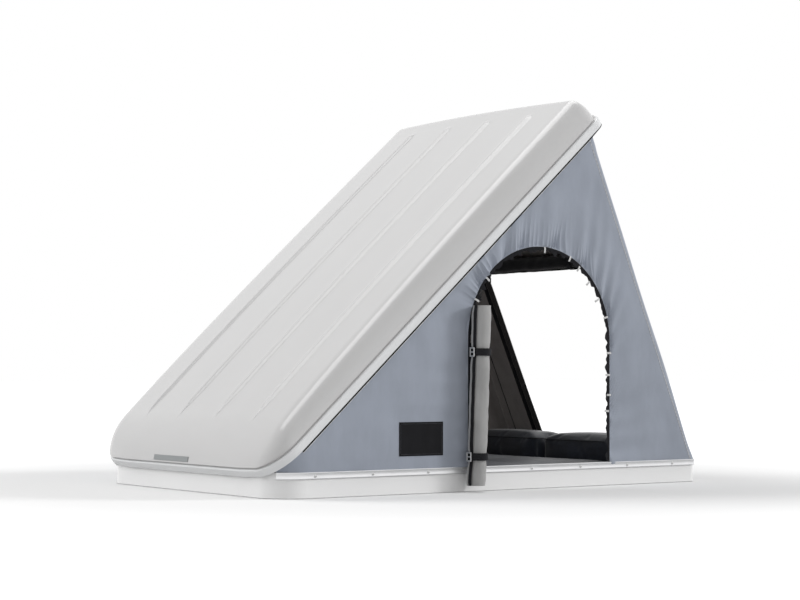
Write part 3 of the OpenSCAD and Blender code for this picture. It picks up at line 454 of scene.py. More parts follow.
@dataclass(frozen=True)
class Webbing:
    """Woven strap or zip tape: close cross ribs and a herringbone of darker threads."""

    name: str
    colour: Colour
    pitch: float = 0.0018

    def material(self) -> bpy.types.Material:
        """Build the finish.

        Returns:
            The new material.
        """
        tree = FinishTree(self.name)
        ribs = 1 / self.pitch / 10 * math.pi / 3
        rise = tree.wave(ribs, "DIAGONAL")
        cross = tree.wave(ribs * 1.3, "Z")
        fuzz = tree.noise(600.0, 2.0, 0.6)
        weave = rise * 0.5 + cross * 0.5
        colour = tree.tint(weave * 0.7 + fuzz * 0.3, shade(self.colour, 0.55), shade(self.colour, 1.7))
        return tree.finish(
            {
                "Base Color": colour,
                "Roughness": 0.62 + (fuzz - 0.5) * 0.3,
                "Specular IOR Level": 0.1,
                "Sheen Weight": 0.03,
                "Normal": tree.bump(weave, self.pitch * 0.2, 0.7),
            }
        )


@dataclass(frozen=True)
class CoatedCover:
    """Coated mattress cover: tight grain with a soft shine, scuffed paler where it stands proud."""

    name: str
    colour: Colour
    bloom: Colour
    shine: float = 0.35

    def material(self) -> bpy.types.Material:
        """Build the finish.

        Returns:
            The new material.
        """
        tree = FinishTree(self.name)
        grain = tree.add("ShaderNodeTexVoronoi", {"feature": "F1"}, {"Vector": tree.place(), "Scale": 420.0})
        cloud = tree.noise(7.0, 4.0, 0.6)
        fine = tree.noise(160.0, 2.0, 0.5)
        colour = tree.tint((cloud * 0.7 + fine * 0.3).spread(0.4, 0.72, 0, 1), self.colour, self.bloom)
        return tree.finish(
            {
                "Base Color": colour,
                "Roughness": 0.44 + (cloud - 0.5) * 0.22 + (grain - 0.5) * 0.08,
                "Specular IOR Level": self.shine,
                "Sheen Weight": 0.15,
                "Normal": tree.bump(grain * 0.7 + fine * 0.5, 0.0004, 0.6),
            }
        )


@dataclass(frozen=True)
class Metal:
    """Drawn or brushed metal: fine streaks along one axis, smudges, and dull oxide in patches."""

    name: str
    colour: Colour
    roughness: float = 0.34
    along: Triple = (0.03, 1.0, 1.0)

    def material(self) -> bpy.types.Material:
        """Build the finish.

        Returns:
            The new material.
        """
        tree = FinishTree(self.name)
        streak = tree.noise(900.0, 2.0, 0.6, tree.place(self.along))
        smudge = tree.noise(14.0, 4.0, 0.6)
        colour = tree.tint(streak * 0.5 + smudge * 0.5, shade(self.colour, 0.82), shade(self.colour, 1.12))
        return tree.finish(
            {
                "Base Color": colour,
                "Metallic": 0.92 - smudge.spread(0.55, 0.8, 0.0, 0.12),
                "Roughness": self.roughness + (streak - 0.5) * 0.2 + (smudge - 0.5) * 0.12,
                "Normal": tree.bump(streak, 0.00006, 0.5),
            }
        )


@dataclass(frozen=True)
class Moulded:
    """Moulded rubber, plastic or powder coat: pebbled skin with rubbed, paler patches."""

    name: str
    colour: Colour
    roughness: float = 0.55
    grain: float = 700.0

    def material(self) -> bpy.types.Material:
        """Build the finish.

        Returns:
            The new material.
        """
        tree = FinishTree(self.name)
        pebble = tree.noise(self.grain, 2.0, 0.55)
        rub = tree.noise(22.0, 4.0, 0.6)
        paler = tuple(c * 1.5 + 0.012 for c in self.colour)
        colour = tree.tint(rub.spread(0.45, 0.75, 0, 1), self.colour, paler)
        return tree.finish(
            {
                "Base Color": colour,
                "Roughness": self.roughness + (pebble - 0.5) * 0.16 + (rub - 0.5) * 0.16,
                "Specular IOR Level": 0.25,
                "Normal": tree.bump(pebble, 0.00012, 0.5),
            }
        )


class Palette:
    """Every finish of the tent, each made once."""

    def __init__(self) -> None:
        """Make the materials."""
        cloth, across, level = (0.365, 0.398, 0.465), (0.0, 0.0, 90.0), (90.0, 0.0, 0.0)
        self.shell = GelCoat("lid_gel_coat", (0.600, 0.596, 0.596), 0.22).material()
        self.rim = GelCoat("rim_gel_coat", (0.80, 0.81, 0.82), 0.24).material()
        self.tray = GelCoat("tray_gel_coat", (0.90, 0.90, 0.90), 0.30).material()
        self.cloth = Canvas("wall_cloth", cloth).material()
        self.cross_cloth = Canvas("rear_wall_cloth", cloth, turn=across).material()
        self.roll = Canvas("rolled_door_cloth", (0.40, 0.398, 0.395), mottle=0.14).material()
        self.lining = Canvas("black_lining", (0.012, 0.012, 0.013), mottle=0.2, turn=across).material()
        self.flap = Canvas("inner_flap_cloth", (0.27, 0.248, 0.24), mottle=0.12, turn=across).material()
        self.board = Canvas("floor_felt", (0.115, 0.123, 0.137), 0.0016, 0.16, 0.1, level).material()
        self.quilt = Canvas("headliner_felt", (0.20, 0.205, 0.215), 0.0014, 0.12, 0.2, level).material()
        self.tape = Webbing("zip_tape", (0.012, 0.012, 0.014), 0.0012).material()
        self.strap = Webbing("strap_webbing", (0.014, 0.014, 0.016)).material()
        self.tag = Webbing("pale_tag_webbing", (0.62, 0.62, 0.61), 0.0014).material()
        self.patch = Canvas("patch_cloth", (0.011, 0.011, 0.013), 0.0009, 0.2, 0.15).material()
        self.thread = Webbing("sewing_thread", (0.10, 0.105, 0.115), 0.0009).material()
        self.cover = CoatedCover("cushion_cover", (0.010, 0.012, 0.017), (0.022, 0.027, 0.040)).material()
        # The front mattress has the cushions' cover written paler: partly a lighter cover, partly painted
        # light and reflection for its upturned top.
        self.pad = CoatedCover(
            "mattress_cover", (0.018, 0.021, 0.030), (0.030, 0.034, 0.046), 0.18
        ).material()
        self.edging = Webbing("flap_edging", (0.045, 0.042, 0.041), 0.0014).material()
        self.strip = Metal("clamp_strip_aluminium", (0.88, 0.885, 0.90), 0.4).material()
        self.rail = Metal("rail_aluminium", (0.50, 0.51, 0.53), 0.4).material()
        self.steel = Metal("bright_steel", (0.78, 0.78, 0.78), 0.34, (1.0, 0.05, 1.0)).material()
        self.plate = Metal("nose_plate_metal", (0.33, 0.345, 0.35), 0.42, (1.0, 0.03, 1.0)).material()
        self.chrome = Metal("rod_chrome", (0.78, 0.78, 0.79), 0.12, (1.0, 1.0, 0.04)).material()
        # The black powder coat also colours the screw heads' cross bars, as painted shade of their recesses.
        self.black = Moulded("black_powder_coat_and_recess_shade", (0.016, 0.016, 0.017), 0.42).material()
        self.plastic = Moulded("black_plastic", (0.014, 0.014, 0.015), 0.5).material()
        self.rubber = Moulded("seal_rubber", (0.008, 0.008, 0.009), 0.6, 500.0).material()
        self.piping = Moulded("white_piping", (0.70, 0.70, 0.69), 0.45, 500.0).material()
        self.wood = Moulded("batten_wood", (0.33, 0.23, 0.13), 0.6, 120.0).material()


class Piecework:
    """Gathers grids, tubes and caps into one mesh."""

    def __init__(self, name: str) -> None:
        """Start an empty piece of that name.

        Args:
            name: Name of the object.
        """
        self.name = name
        self.points: list[Array] = []
        self.faces: list[list[int]] = []
        self.marks: list[int] = []
        self.count = 0

    def _take(self, points: Array, faces: Array | list[list[int]], finish: int) -> None:
        """Store points with their faces, whose numbers start at this batch's first point.

        Args:
            points: Positions in millimetres, last axis X, Y, Z.
            faces: Corners of each face, by number within this batch.
            finish: Number of the faces' finish.
        """
        flat = np.asarray(points, float).reshape(-1, 3)
        listed = [[i + self.count for i in face] for face in np.asarray(faces).tolist()]
        self.points.append(flat)
        self.faces += listed
        self.marks += [finish] * len(listed)
        self.count += len(flat)

    def grid(self, points: Array, wrap: tuple[bool, bool] = (False, False), finish: int = 0) -> None:
        """Add a surface over a grid of points, closed along its rows or columns where wrap says so.

        Args:
            points: Rows and columns of positions.
            wrap: Whether the rows, and the columns, close on themselves.
            finish: Number of its finish.
        """
        rows, cols = points.shape[:2]
        i = np.arange(rows if wrap[0] else rows - 1)[:, None]
        j = np.arange(cols if wrap[1] else cols - 1)[None, :]
        ii, jj = (i + 1) % rows, (j + 1) % cols
        faces = np.stack([i * cols + j, i * cols + jj, ii * cols + jj, ii * cols + j], axis=-1)
        self._take(points, faces.reshape(-1, 4), finish)

    def slab(self, outer: Array, inner: Array, finishes: tuple[int, int] = (0, 0)) -> None:
        """Add a sheet with thickness: two grids and the four narrow bands that join their edges.

        Args:
            outer: Grid of the outside.
            inner: Grid of the inside, of the same shape.
            finishes: Finish of the outside, and of the rest.
        """
        self.grid(outer, finish=finishes[0])
        self.grid(inner, finish=finishes[1])
        for cut in (np.s_[0, :], np.s_[-1, :], np.s_[:, 0], np.s_[:, -1]):
            self.grid(np.stack([outer[cut], inner[cut]]), finish=finishes[1])

    def tube(self, rings: Array, closed: bool = False, finish: int = 0) -> None:
        """Add closed sections along a path, with flat ends unless the path is closed.

        Args:
            rings: One closed section for each place along the path.
            closed: Whether the last section joins the first.
            finish: Number of its finish.
        """
        self.grid(rings, (closed, True), finish)
        if not closed:
            self.cap(rings[0], finish)
            self.cap(rings[-1], finish)

    def cap(self, ring: Array, finish: int = 0) -> None:
        """Add one flat many-sided face."""
        self._take(ring, [list(range(len(ring)))], finish)

    def block(self, low: Sequence[float], high: Sequence[float], bevel: float, finish: int = 0) -> None:
        """Add a box whose four upright edges and rims are chamfered by bevel.

        Args:
            low: Its lowest corner.
            high: Its highest corner.
            bevel: Width of the chamfers.
            finish: Number of its finish.
        """
        (x0, y0, z0), (x1, y1, z1) = low, high
        b = bevel
        ring = np.array([
            [x0 + b, y0], [x1 - b, y0], [x1, y0 + b], [x1, y1 - b],
            [x1 - b, y1], [x0 + b, y1], [x0, y1 - b], [x0, y0 + b],
        ])
        middle = np.array([(x0 + x1) / 2, (y0 + y1) / 2])
        size = np.array([x1 - x0, y1 - y0])
        small = middle + (ring - middle) * (1 - 2 * b / size)
        levels = ((small, z0), (ring, z0 + b), (ring, z1 - b), (small, z1))
        rings = [np.column_stack([r, np.full(len(r), z)]) for r, z in levels]
        self.tube(np.array(rings), finish=finish)

    def build(self, *finishes: bpy.types.Material, sharp: float = 40.0) -> bpy.types.Object:
        """Make the mesh object, in metres, merged, facing outwards and smooth apart from its hard edges.

        Args:
            finishes: Materials in the order of the finish numbers.
            sharp: Edges that turn by more than this many degrees stay hard.

        Returns:
            The new object, at the origin.
        """
        mesh = bpy.data.meshes.new(self.name)
        mesh.from_pydata((np.concatenate(self.points) * MM).tolist(), [], self.faces)
        for finish in finishes:
            mesh.materials.append(finish)
        mesh.polygons.foreach_set("material_index", np.array(self.marks, np.int32))
        work = bmesh.new()
        work.from_mesh(mesh)
        bmesh.ops.remove_doubles(work, verts=work.verts, dist=1e-6)
        bmesh.ops.dissolve_degenerate(work, edges=work.edges, dist=1e-7)
        bmesh.ops.recalc_face_normals(work, faces=work.faces)
        work.to_mesh(mesh)
        work.free()
        mesh.shade_smooth()
        mesh.set_sharp_from_angle(angle=math.radians(sharp))
        made = bpy.data.objects.new(self.name, mesh)
        bpy.context.scene.collection.objects.link(made)
        return made


def settle(piece: bpy.types.Object, body: str, slot: str, *nodes: str) -> bpy.types.Object:
    """Let a rigid piece ride on a body and stand for CAD nodes.

    Args:
        piece: The finished piece.
        body: The CAD body that it moves with.
        slot: The record's material slot; not used.
        nodes: CAD nodes that it replaces.

    Returns:
        The piece.
    """
    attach(piece, body)
    return credit(piece, slot, *nodes)


def credit(piece: bpy.types.Object, slot: str, *nodes: str) -> bpy.types.Object:
    """Hide the CAD nodes that a piece replaces, and report it.

    Args:
        piece: The finished piece.
        slot: The record's material slot; not used.
        nodes: CAD nodes that it replaces.

    Returns:
        The piece.
    """
    if nodes:
        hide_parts(*nodes)
    LOG.info("%s: %d faces", piece.name, len(piece.data.polygons))
    return piece


def fold_with_lid(piece: bpy.types.Object) -> bpy.types.Object:
    """Bake a cloth piece's placement into its mesh and read its points.

    Args:
        piece: A finished cloth piece with no parent.

    Returns:
        The piece.
    """
    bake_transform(piece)
    count = len(piece.data.vertices)
    spots = np.empty(count * 3, np.float32)
    piece.data.vertices.foreach_get("co", spots)
    spots = spots.reshape(-1, 3)
    return piece


@dataclass
class Outline:
    """A rounded rectangle seen from above, with its own corner radius at each end."""

    x0: float
    x1: float
    half: float
    front_r: float
    rear_r: float
    steps: int = 16

    def corners(self) -> list[tuple[float, float, float, float]]:
        """Centre, radius and first angle of each corner arc, anticlockwise from the rear right one.

        Returns:
            For each corner, x and y of its centre, its radius and its first angle in degrees.
        """
        xf, xr = self.x0 + self.front_r, self.x1 - self.rear_r
        yf, yr = self.half - self.front_r, self.half - self.rear_r
        return [
            (xr, yr, self.rear_r, 0.0), (xf, yf, self.front_r, 90.0),
            (xf, -yf, self.front_r, 180.0), (xr, -yr, self.rear_r, 270.0),
        ]

    def arc(self, corner: int, start: float = 0.0, end: float = 90.0) -> tuple[Array, Array]:
        """Points and outward normals of part of a corner arc, by degrees past its first angle.

        Args:
            corner: Number of the corner.
            start: Where the part starts.
            end: Where it ends.

        Returns:
            Points and normals, as rows of x and y.
        """
        x, y, radius, first = self.corners()[corner]
        angle = np.radians(first + np.linspace(start, end, self.steps))
        normal = np.column_stack([np.cos(angle), np.sin(angle)])
        return np.array([x, y]) + radius * normal, normal

    def loop(self) -> tuple[Array, Array]:
        """Points and outward normals all round."""
        parts = [self.arc(k) for k in range(4)]
        return np.concatenate([p for p, _ in parts]), np.concatenate([n for _, n in parts])


def carry(path: tuple[Array, Array], profile: Sequence[Sequence[float]]) -> Array:
    """Carry a section along a plan path.

    Args:
        path: Points and outward normals seen from above.
        profile: Section points as [distance outwards, height].

    Returns:
        A grid of points: one row for each path point, one column for each section point.
    """
    points, normals = path
    section = np.asarray(profile, float)
    flat = points[:, None, :] + normals[:, None, :] * section[None, :, :1]
    height = np.broadcast_to(section[None, :, 1:], (*flat.shape[:2], 1))
    return np.concatenate([flat, height], axis=-1)


@dataclass
class Studio:
    """Camera, light and floor."""

    eye: Triple = (-4.7245, -6.3179, 0.4585)
    yaw: float = -36.615
    pitch: float = 2.155
    roll: float = 0.176
    lens: float = 85.21
    ambient: float = 0.53
    paper: float = 0.70
    seen_paper: float = 0.90
    near_glow: float = 0.05
    far_glow: float = 0.36
    glow_run: tuple[float, float] = (1.4, 3.4)
    floor_reach: float = 60000.0
    floor_z: float = -1.0

    def camera(self) -> None:
        """Set the camera where the photograph was taken from."""
        data = bpy.data.cameras.new("camera")
        data.lens, data.sensor_width = self.lens, 36.0
        data.clip_end = 200.0
        view = bpy.data.objects.new("camera", data)
        view.location = self.eye
        turn = Euler((math.radians(90 + self.pitch), 0, math.radians(self.yaw))).to_matrix()
        view.rotation_euler = (turn @ Euler((0, 0, math.radians(self.roll))).to_matrix()).to_euler()
        bpy.context.scene.collection.objects.link(view)
        bpy.context.scene.camera = view

    def lamps(self) -> None:
        """Hang a soft key, a raking light off the tail, boxes overhead and inside, and one for highlights."""
        for name, energy, spread, turn in (
            ("key", 1.40, 34.0, (58.0, 0.0, -145.0)),
            ("rake", 1.25, 14.0, (70.0, 0.0, 60.0)),
        ):
            data = bpy.data.lights.new(name, "SUN")
            data.energy, data.angle = energy, math.radians(spread)
            self.hang(name, data, (0.0, 0.0, 5.0), turn)
        for name, size, power, spot, turn, mirrored in (
            ("overhead_box", (5.0, 0.8), 24.0, (-0.6, -1.4, 4.6), (0.0, 0.0, 0.0), False),
            ("cabin_box", (0.5, 0.4), 1.7, (0.05, -0.50, 0.50), (78.0, 0.0, -38.0), False),
            ("shine_box", (6.0, 2.1), 84.0, (-0.7, 0.45, 4.6), (0.0, 0.0, 0.0), True),
        ):
            data = bpy.data.lights.new(name, "AREA")
            data.shape, data.size, data.size_y, data.energy = "RECTANGLE", *size, power
            self.hang(name, data, spot, turn, mirrored)

    @staticmethod
    def hang(
        name: str, data: bpy.types.Light, spot: Sequence[float], turn: Sequence[float], mirrored: bool = False
    ) -> None:
        """Hang one lamp, which the camera itself never sees.

        Args:
            name: Name of the lamp.
            data: Its light.
            spot: Where it hangs, in metres.
            turn: Its turn about each axis in degrees.
            mirrored: True if it only shows as a highlight on glossy finishes, False if it only lights.
        """
        lamp = bpy.data.objects.new(name, data)
        lamp.location = spot
        lamp.rotation_euler = tuple(math.radians(t) for t in turn)
        lamp.visible_camera = False
        lamp.visible_glossy = mirrored
        lamp.visible_diffuse = not mirrored
        bpy.context.scene.collection.objects.link(lamp)

    def surroundings(self) -> None:
        """Light the room evenly, with white behind everything that the camera and reflections see."""
        tree = FinishTree("room", "worlds")
        kinds = ("Camera", "Glossy", "Transmission")
        rays = [tree.add("ShaderNodeLightPath", out=f"Is {kind} Ray") for kind in kinds]
        seen = rays[0].largest(rays[1]).largest(rays[2])
        level = self.ambient + seen * (1.0 - self.ambient)
        back = tree.add("ShaderNodeBackground", sockets={"Color": rgba((1.0, 1.0, 1.0)), "Strength": level})
        tree.add("ShaderNodeOutputWorld", sockets={"Surface": back})
        bpy.context.scene.world = tree.owner

    def floor(self) -> None:
        """Lay a pale floor that stays white to the camera apart from the tent's shadow."""
        tree = FinishTree("studio_floor")
        lift = tree.add("ShaderNodeLightPath", out="Is Camera Ray")
        far = tree.add("ShaderNodeVectorMath", {"operation": "LENGTH"}, {0: tree.place()}, out="Value")
        paper = tree.tint(lift, (self.paper,) * 3, (self.seen_paper,) * 3)
        paper = tree.add("ShaderNodeBsdfDiffuse", sockets={"Color": paper})
        strength = lift * far.spread(*self.glow_run, self.near_glow, self.far_glow)
        glow = tree.add("ShaderNodeEmission", sockets={"Strength": strength})
        both = tree.add("ShaderNodeAddShader", sockets={0: paper, 1: glow})
        tree.add("ShaderNodeOutputMaterial", sockets={"Surface": both})
        work = Piecework("floor")
        corners = self.floor_reach * np.array([[-1, -1], [1, -1], [1, 1], [-1, 1]])
        work.cap(np.column_stack([corners, np.full(4, self.floor_z)]))
        work.build(tree.owner)

    def set_up(self) -> None:
        """Make everything, and show colours as they are written."""
        bpy.context.scene.view_settings.view_transform = "Standard"
        self.camera()
        self.lamps()
        self.surroundings()
        self.floor()


def swell(distance: Array, run: float, power: float, root: float) -> Array:
    """Share of full height reached at a distance in from an edge: (1 - (1 - d/run)^power)^(1/root)."""
    share = np.clip(distance / run, 0, 1)
    return np.clip(1 - (1 - share) ** power, 0, 1) ** (1 / root)


def half_width(x: Array, x0: float, half: float, radius: float) -> Array:
    """Half width at x of an outline whose front corners are quarter circles."""
    inside = np.clip(x0 + radius - x, 0, radius)
    return half - radius + np.sqrt(radius**2 - inside**2)


def cloth_half(x: Array, z: Array) -> Array:
    """Distance of the side cloth from the centre line: a fan about the hinge from tray to lid.

    Args:
        x: Positions along the tent.
        z: Heights.

    Returns:
        Distances, in millimetres.
    """
    across, up = x - HINGE_X, z - HINGE_Z
    rise = np.arctan2(up, across)
    along_lid = across * math.cos(OPEN) + up * math.sin(OPEN)
    reach = np.where(rise > OPEN, along_lid, np.where(up > 0, np.hypot(across, up), across)) + HINGE_X
    low = half_width(reach, -HALF_L - CLOTH_OUT, HALF_W + CLOTH_OUT, FRONT_R + CLOTH_OUT)
    high = half_width(reach, HEM_FRONT, HEM_HALF, HEM_R)
    return lerp(low, high, np.clip(rise / OPEN, 0, 1))


def ring_about(centre: Array, u: Sequence[float], v: Sequence[float], radius: Array, angle: Array) -> Array:
    """Points at a radius and angle round centres, in the plane of the unit vectors u and v."""
    flat = radius * np.cos(angle), radius * np.sin(angle)
    return centre + flat[0][..., None] * np.asarray(u, float) + flat[1][..., None] * np.asarray(v, float)


@dataclass
class LidShell:
    """The moulded lid with its ribs, rim, rubber lip, white piping and quilted lining."""

    x0: float = -1070.0
    x1: float = 1056.0
    half: float = 655.0
    front_r: float = 150.0
    rear_r: float = 60.0
    thick: float = 5.0
    side_lip: float = 1.7
    rib_ys: tuple[float, ...] = (-400.5, -133.5, 133.5, 400.5)
    rib_h: float = 8.0
    rib_half: float = 25.0
    rib_flank: float = 23.0
    dome_r: float = 84.0
    rib_front: float = -913.5
    rib_rear: float = 943.5
    spear: float = 190.0
    outside: Pairs = (
        (6.5, 41), (9.5, 40.4), (12.6, 39.1), (14, 37.2), (13.8, 35.2), (12, 33.6), (8.4, 32.6), (4.4, 31.8),
        (2, 30.6), (0.8, 29), (0.15, 27), (0, 24.5), (0, 3), (0.3, 1.5), (1, 0.5), (2, 0),
    )
    inside: Pairs = ((6.5, 0), (7, 0.5), (7, 25), (11, 29), (17, 31.6), (18.5, 37))
    lip: Pairs = (
        (-3.7, -0.1), (-0.9, -0.1), (-0.5, -1.2), (-0.8, -2.9), (-1.8, -3.7), (-3.0, -3.6), (-3.6, -2.4),
    )
    bead_r: float = 1.8
    bead_at: tuple[float, float] = (-6.4, -8.2)
    nose_swell: Triple = (200.0, 2.2, 1.0)
    tail_swell: Triple = (50.0, 2.4, 1.8)
    side_swell: Triple = (85.0, 2.4, 1.6)
    crown_low: float = 112.0
    crown_rise: float = 46.0
    crown_run: float = 700.0
    crown_fall: float = 14.0
    liner_in: float = 13.0
    liner_x: tuple[float, float] = (-880.0, 966.0)
    liner_half: float = 550.0
    liner_foot: float = 36.0
    liner_drop: float = 2.6
    liner_thick: float = 1.2
    quilt: float = 105.0
    quilt_h: float = 3.2

    @property
    def dome_in(self) -> float:
        """Distance of the dome's edge from the lid's."""
        return self.outside[0][0]

    @property
    def dome_span(self) -> tuple[float, float]:
        """Length of the dome from edge to edge, and half of its width."""
        return self.x1 - self.x0 - 2 * self.dome_in, self.half - self.dome_in

    def stations(self) -> tuple[Array, Array]:
        """Grid lines along and across the dome, closer together at its edges, its rib ends and rib flanks.

        Returns:
            Shares along the lid, from 0 to 1, and across it, from -1 to 1.
        """
        length, half = self.dome_span
        edge = np.array([0, 1.2, 2.8, 5, 8, 12, 17, 23, 30, 38, 47, 57, 68, 80, 93, 107, 122])
        xs = np.concatenate([
            edge, np.arange(137, 360, 7.0), np.arange(365, length - 165, 45.0),
            np.arange(length - 160, length - 62, 6.0), length - edge[edge < 62][::-1],
        ])
        flank = np.array([0, 2.5, 5, 8, 11, 14, 17, 20, 22.5, 25, 28])
        rib = np.concatenate([-flank[:0:-1], flank])
        sides = np.array([0, 0.8, 1.8, 3.2, 5, 7.5, 10.5, 14, 18.5, 24, 31, 40, 51, 64, 78, 90])
        ribs = np.add.outer(self.rib_ys, rib).ravel()
        ys = np.concatenate([ribs, np.linspace(-360, 360, 19), half - sides, sides - half])
        ys = np.unique(np.round(ys, 2))
        return xs / length, ys[np.concatenate([[True], np.diff(ys) > 0.5])] / half

    def spot(self, along: Array, across: Array, inset: float, tail_r: float) -> tuple[Array, Array]:
        """Plan position of shares along and across when the square grid's corners are rounded.

        In a corner, shares p and q of the radius become p sqrt(1 - q^2/2) and q sqrt(1 - p^2/2).

        Args:
            along: Shares from nose to tail.
            across: Shares from the centre line, -1 to 1.
            inset: Distance in from the lid's edge.
            tail_r: Radius of the tail's corners at that edge.

        Returns:
            The x and y of every share.
        """
        x0, x1, half = self.x0 + inset, self.x1 - inset, self.half - inset
        x, y = lerp(np.full_like(along, x0), np.full_like(along, x1), along), across * half
        front = x < (x0 + x1) / 2
        radius = np.where(front, self.front_r, tail_r) - inset
        centre = np.where(front, x0 + radius, x1 - radius)
        out = np.where(front, -1.0, 1.0)
        p = np.clip((x - centre) * out / radius, 0, 1)
        q = np.clip((np.abs(y) - half + radius) / radius, 0, 1)
        corner = (p > 0) & (q > 0)
        bent_x = centre + out * radius * p * np.sqrt(1 - q * q / 2)
        bent_y = np.sign(y) * (half - radius + radius * q * np.sqrt(1 - p * p / 2))
        return np.where(corner, bent_x, x), np.where(corner, bent_y, y)

    def crown(self, x: Array, y: Array) -> Array:
        """Height of the lid's top: it climbs from the nose and levels out, and falls off to the sides."""
        climb = 1 - np.exp(-np.maximum(0, x + HALF_L) / self.crown_run)
        return self.crown_low + self.crown_rise * climb - self.crown_fall * (y / self.half) ** 2

    def ribs(self, x: Array, y: Array) -> Array:
        """Height of the ribs: narrow tops, soft flanks, and fronts drawn out to a point.

        Args:
            x: Positions along the lid.
            y: Positions across it.

        Returns:
            Heights above the dome.
        """
        taper = 0.30 + 0.70 * smoothstep(x, self.rib_front, self.rib_front + self.spear)
        off = np.min(np.abs(y[..., None] - np.array(self.rib_ys)), axis=-1)
        side = smoothstep(self.rib_half * taper - off, 0, self.rib_flank)
        ends = smoothstep(x, self.rib_front, self.rib_front + 60) * smoothstep(self.rib_rear - x, 0, 40)
        return self.rib_h * side * ends

    def surface(self, inset: float, foot: float, less: float) -> Array:
        """The dome's outside, or its inside where less is the thickness, with the lid shut.

        Args:
            inset: Distance of its edge from the lid's.
            foot: Height of its edge above the hinge line.
            less: Depth below the outside, 0 for the outside itself.

        Returns:
            A grid of points.
        """
        along, across = np.meshgrid(*self.stations(), indexing="ij")
        x, y = self.spot(along, across, inset, self.dome_r)
        length, half = self.dome_span
        rise = swell(along * length, *self.nose_swell) * swell((1 - along) * length, *self.tail_swell)
        rise = rise * swell(half * (1 - np.abs(across)), *self.side_swell)
        z = HINGE_Z + foot + (self.crown(x, y) - less - foot) * rise
        return np.stack([x, y, z + (self.ribs(x, y) if less == 0 else 0)], axis=-1)

    @staticmethod
    def border(grid: Array) -> Array:
        """The points round a grid's edge, in order."""
        return np.concatenate([grid[0, :-1], grid[:-1, -1], grid[-1, :0:-1], grid[:0:-1, 0]])

    def rim(self, inset: float, height: float) -> Array:
        """One level loop round the rim.

        Args:
            inset: Distance in from the lid's edge.
            height: Height above the hinge line.

        Returns:
            The loop's points, in order.
        """
        along, across = np.meshgrid(*self.stations(), indexing="ij")
        x, y = self.spot(along, across, inset, self.rear_r)
        return self.border(np.stack([x, y, np.full_like(x, HINGE_Z + height)], axis=-1))

    def shell(self, palette: Palette) -> None:
        """The shell: outside, inside and the rim's section between their edges.

        Args:
            palette: The tent's finishes.
        """
        top = self.surface(*self.outside[0], 0)
        under = self.surface(*self.inside[-1], self.thick)
        loops = [self.border(top)] + [self.rim(*spot) for spot in (*self.outside[1:], *self.inside[:-1])]
        loops = opened(np.array(loops + [self.border(under)]))
        work = Piecework("lid_moulding")
        work.grid(opened(top))
        work.grid(opened(under), finish=1)
        work.grid(loops[:7], (False, True))
        work.grid(loops[6:], (False, True), finish=2)
        settle(work.build(palette.shell, palette.tray, palette.rim, sharp=50), "lid", "shell", "lid_shell")

    def trim(self, palette: Palette) -> None:
        """Rubber lip under the rim, from the front corners round the tail, and white piping on the hem.

        Args:
            palette: The tent's finishes.
        """
        line = Outline(self.x0, self.x1, self.half, self.front_r, self.rear_r)
        start = np.array([[self.x0 + self.front_r, -self.half], [self.x1 - 2 * self.rear_r, -self.half]])
        out = np.array([[0.0, -1.0]] * 2)
        arcs = [line.arc(3), line.arc(0)]
        points = np.concatenate([start, *(p for p, _ in arcs), start[::-1] * [1, -1]])
        normals = np.concatenate([out, *(n for _, n in arcs), -out])
        rings = carry((points, normals), self.lip)
        rings[[0, 1, -2, -1], :, 2] *= self.side_lip
        work = Piecework("rim_lip")
        work.tube(opened(rings + [0, 0, HINGE_Z]))
        settle(work.build(palette.rubber), "lid", "rubber", "lid_seal")
        turn = round_angles(10)
        bead = self.bead_r * np.column_stack([np.cos(turn), np.sin(turn)]) + self.bead_at
        reach = np.linspace(self.x0 + self.front_r, SEAM_X, 60)
        work = Piecework("hem_piping")
        for side in Side:
            path = np.column_stack([reach, np.full(60, side.value * self.half)])
            work.tube(opened(carry((path, np.array([[0.0, side.value]] * 60)), bead) + [0, 0, HINGE_Z]))
        credit(fold_with_lid(work.build(palette.piping)), "rubber")

    def lining(self, palette: Palette) -> None:
        """Felt headliner quilted in diamonds: h = depth sqrt(|sin a sin b|) on the two diagonals.

        Args:
            palette: The tent's finishes.
        """
        (low, high), half = self.liner_x, self.liner_half
        x, y = steps((low, high, 150), (-half, half, 90))
        rise = swell(x - self.x0 - self.liner_in, *self.nose_swell)
        rise = rise * swell(self.half - self.liner_in - np.abs(y), *self.side_swell)
        vault = self.liner_foot + (self.crown(x, y) - self.thick - self.liner_foot) * rise
        diagonals = np.sin(math.pi * (x + y) / self.quilt) * np.sin(math.pi * (x - y) / self.quilt)
        edge = smoothstep(half - np.abs(y), 0, 25) * smoothstep(x - low, 0, 25) * smoothstep(high - x, 0, 25)
        pillow = self.quilt_h * np.sqrt(np.abs(diagonals)) * edge
        under = np.stack([x, y, HINGE_Z + vault - self.liner_drop - pillow], axis=-1)
        work = Piecework("quilted_headliner")
        work.slab(opened(under), opened(under + [0, 0, self.liner_thick]))
        piece = settle(work.build(palette.quilt), "lid", "liner", "lid_liner")

    def build(self, palette: Palette) -> None:
        """Make every piece.

        Args:
            palette: The tent's finishes.
        """
        self.shell(palette)
        self.trim(palette)
        self.lining(palette)


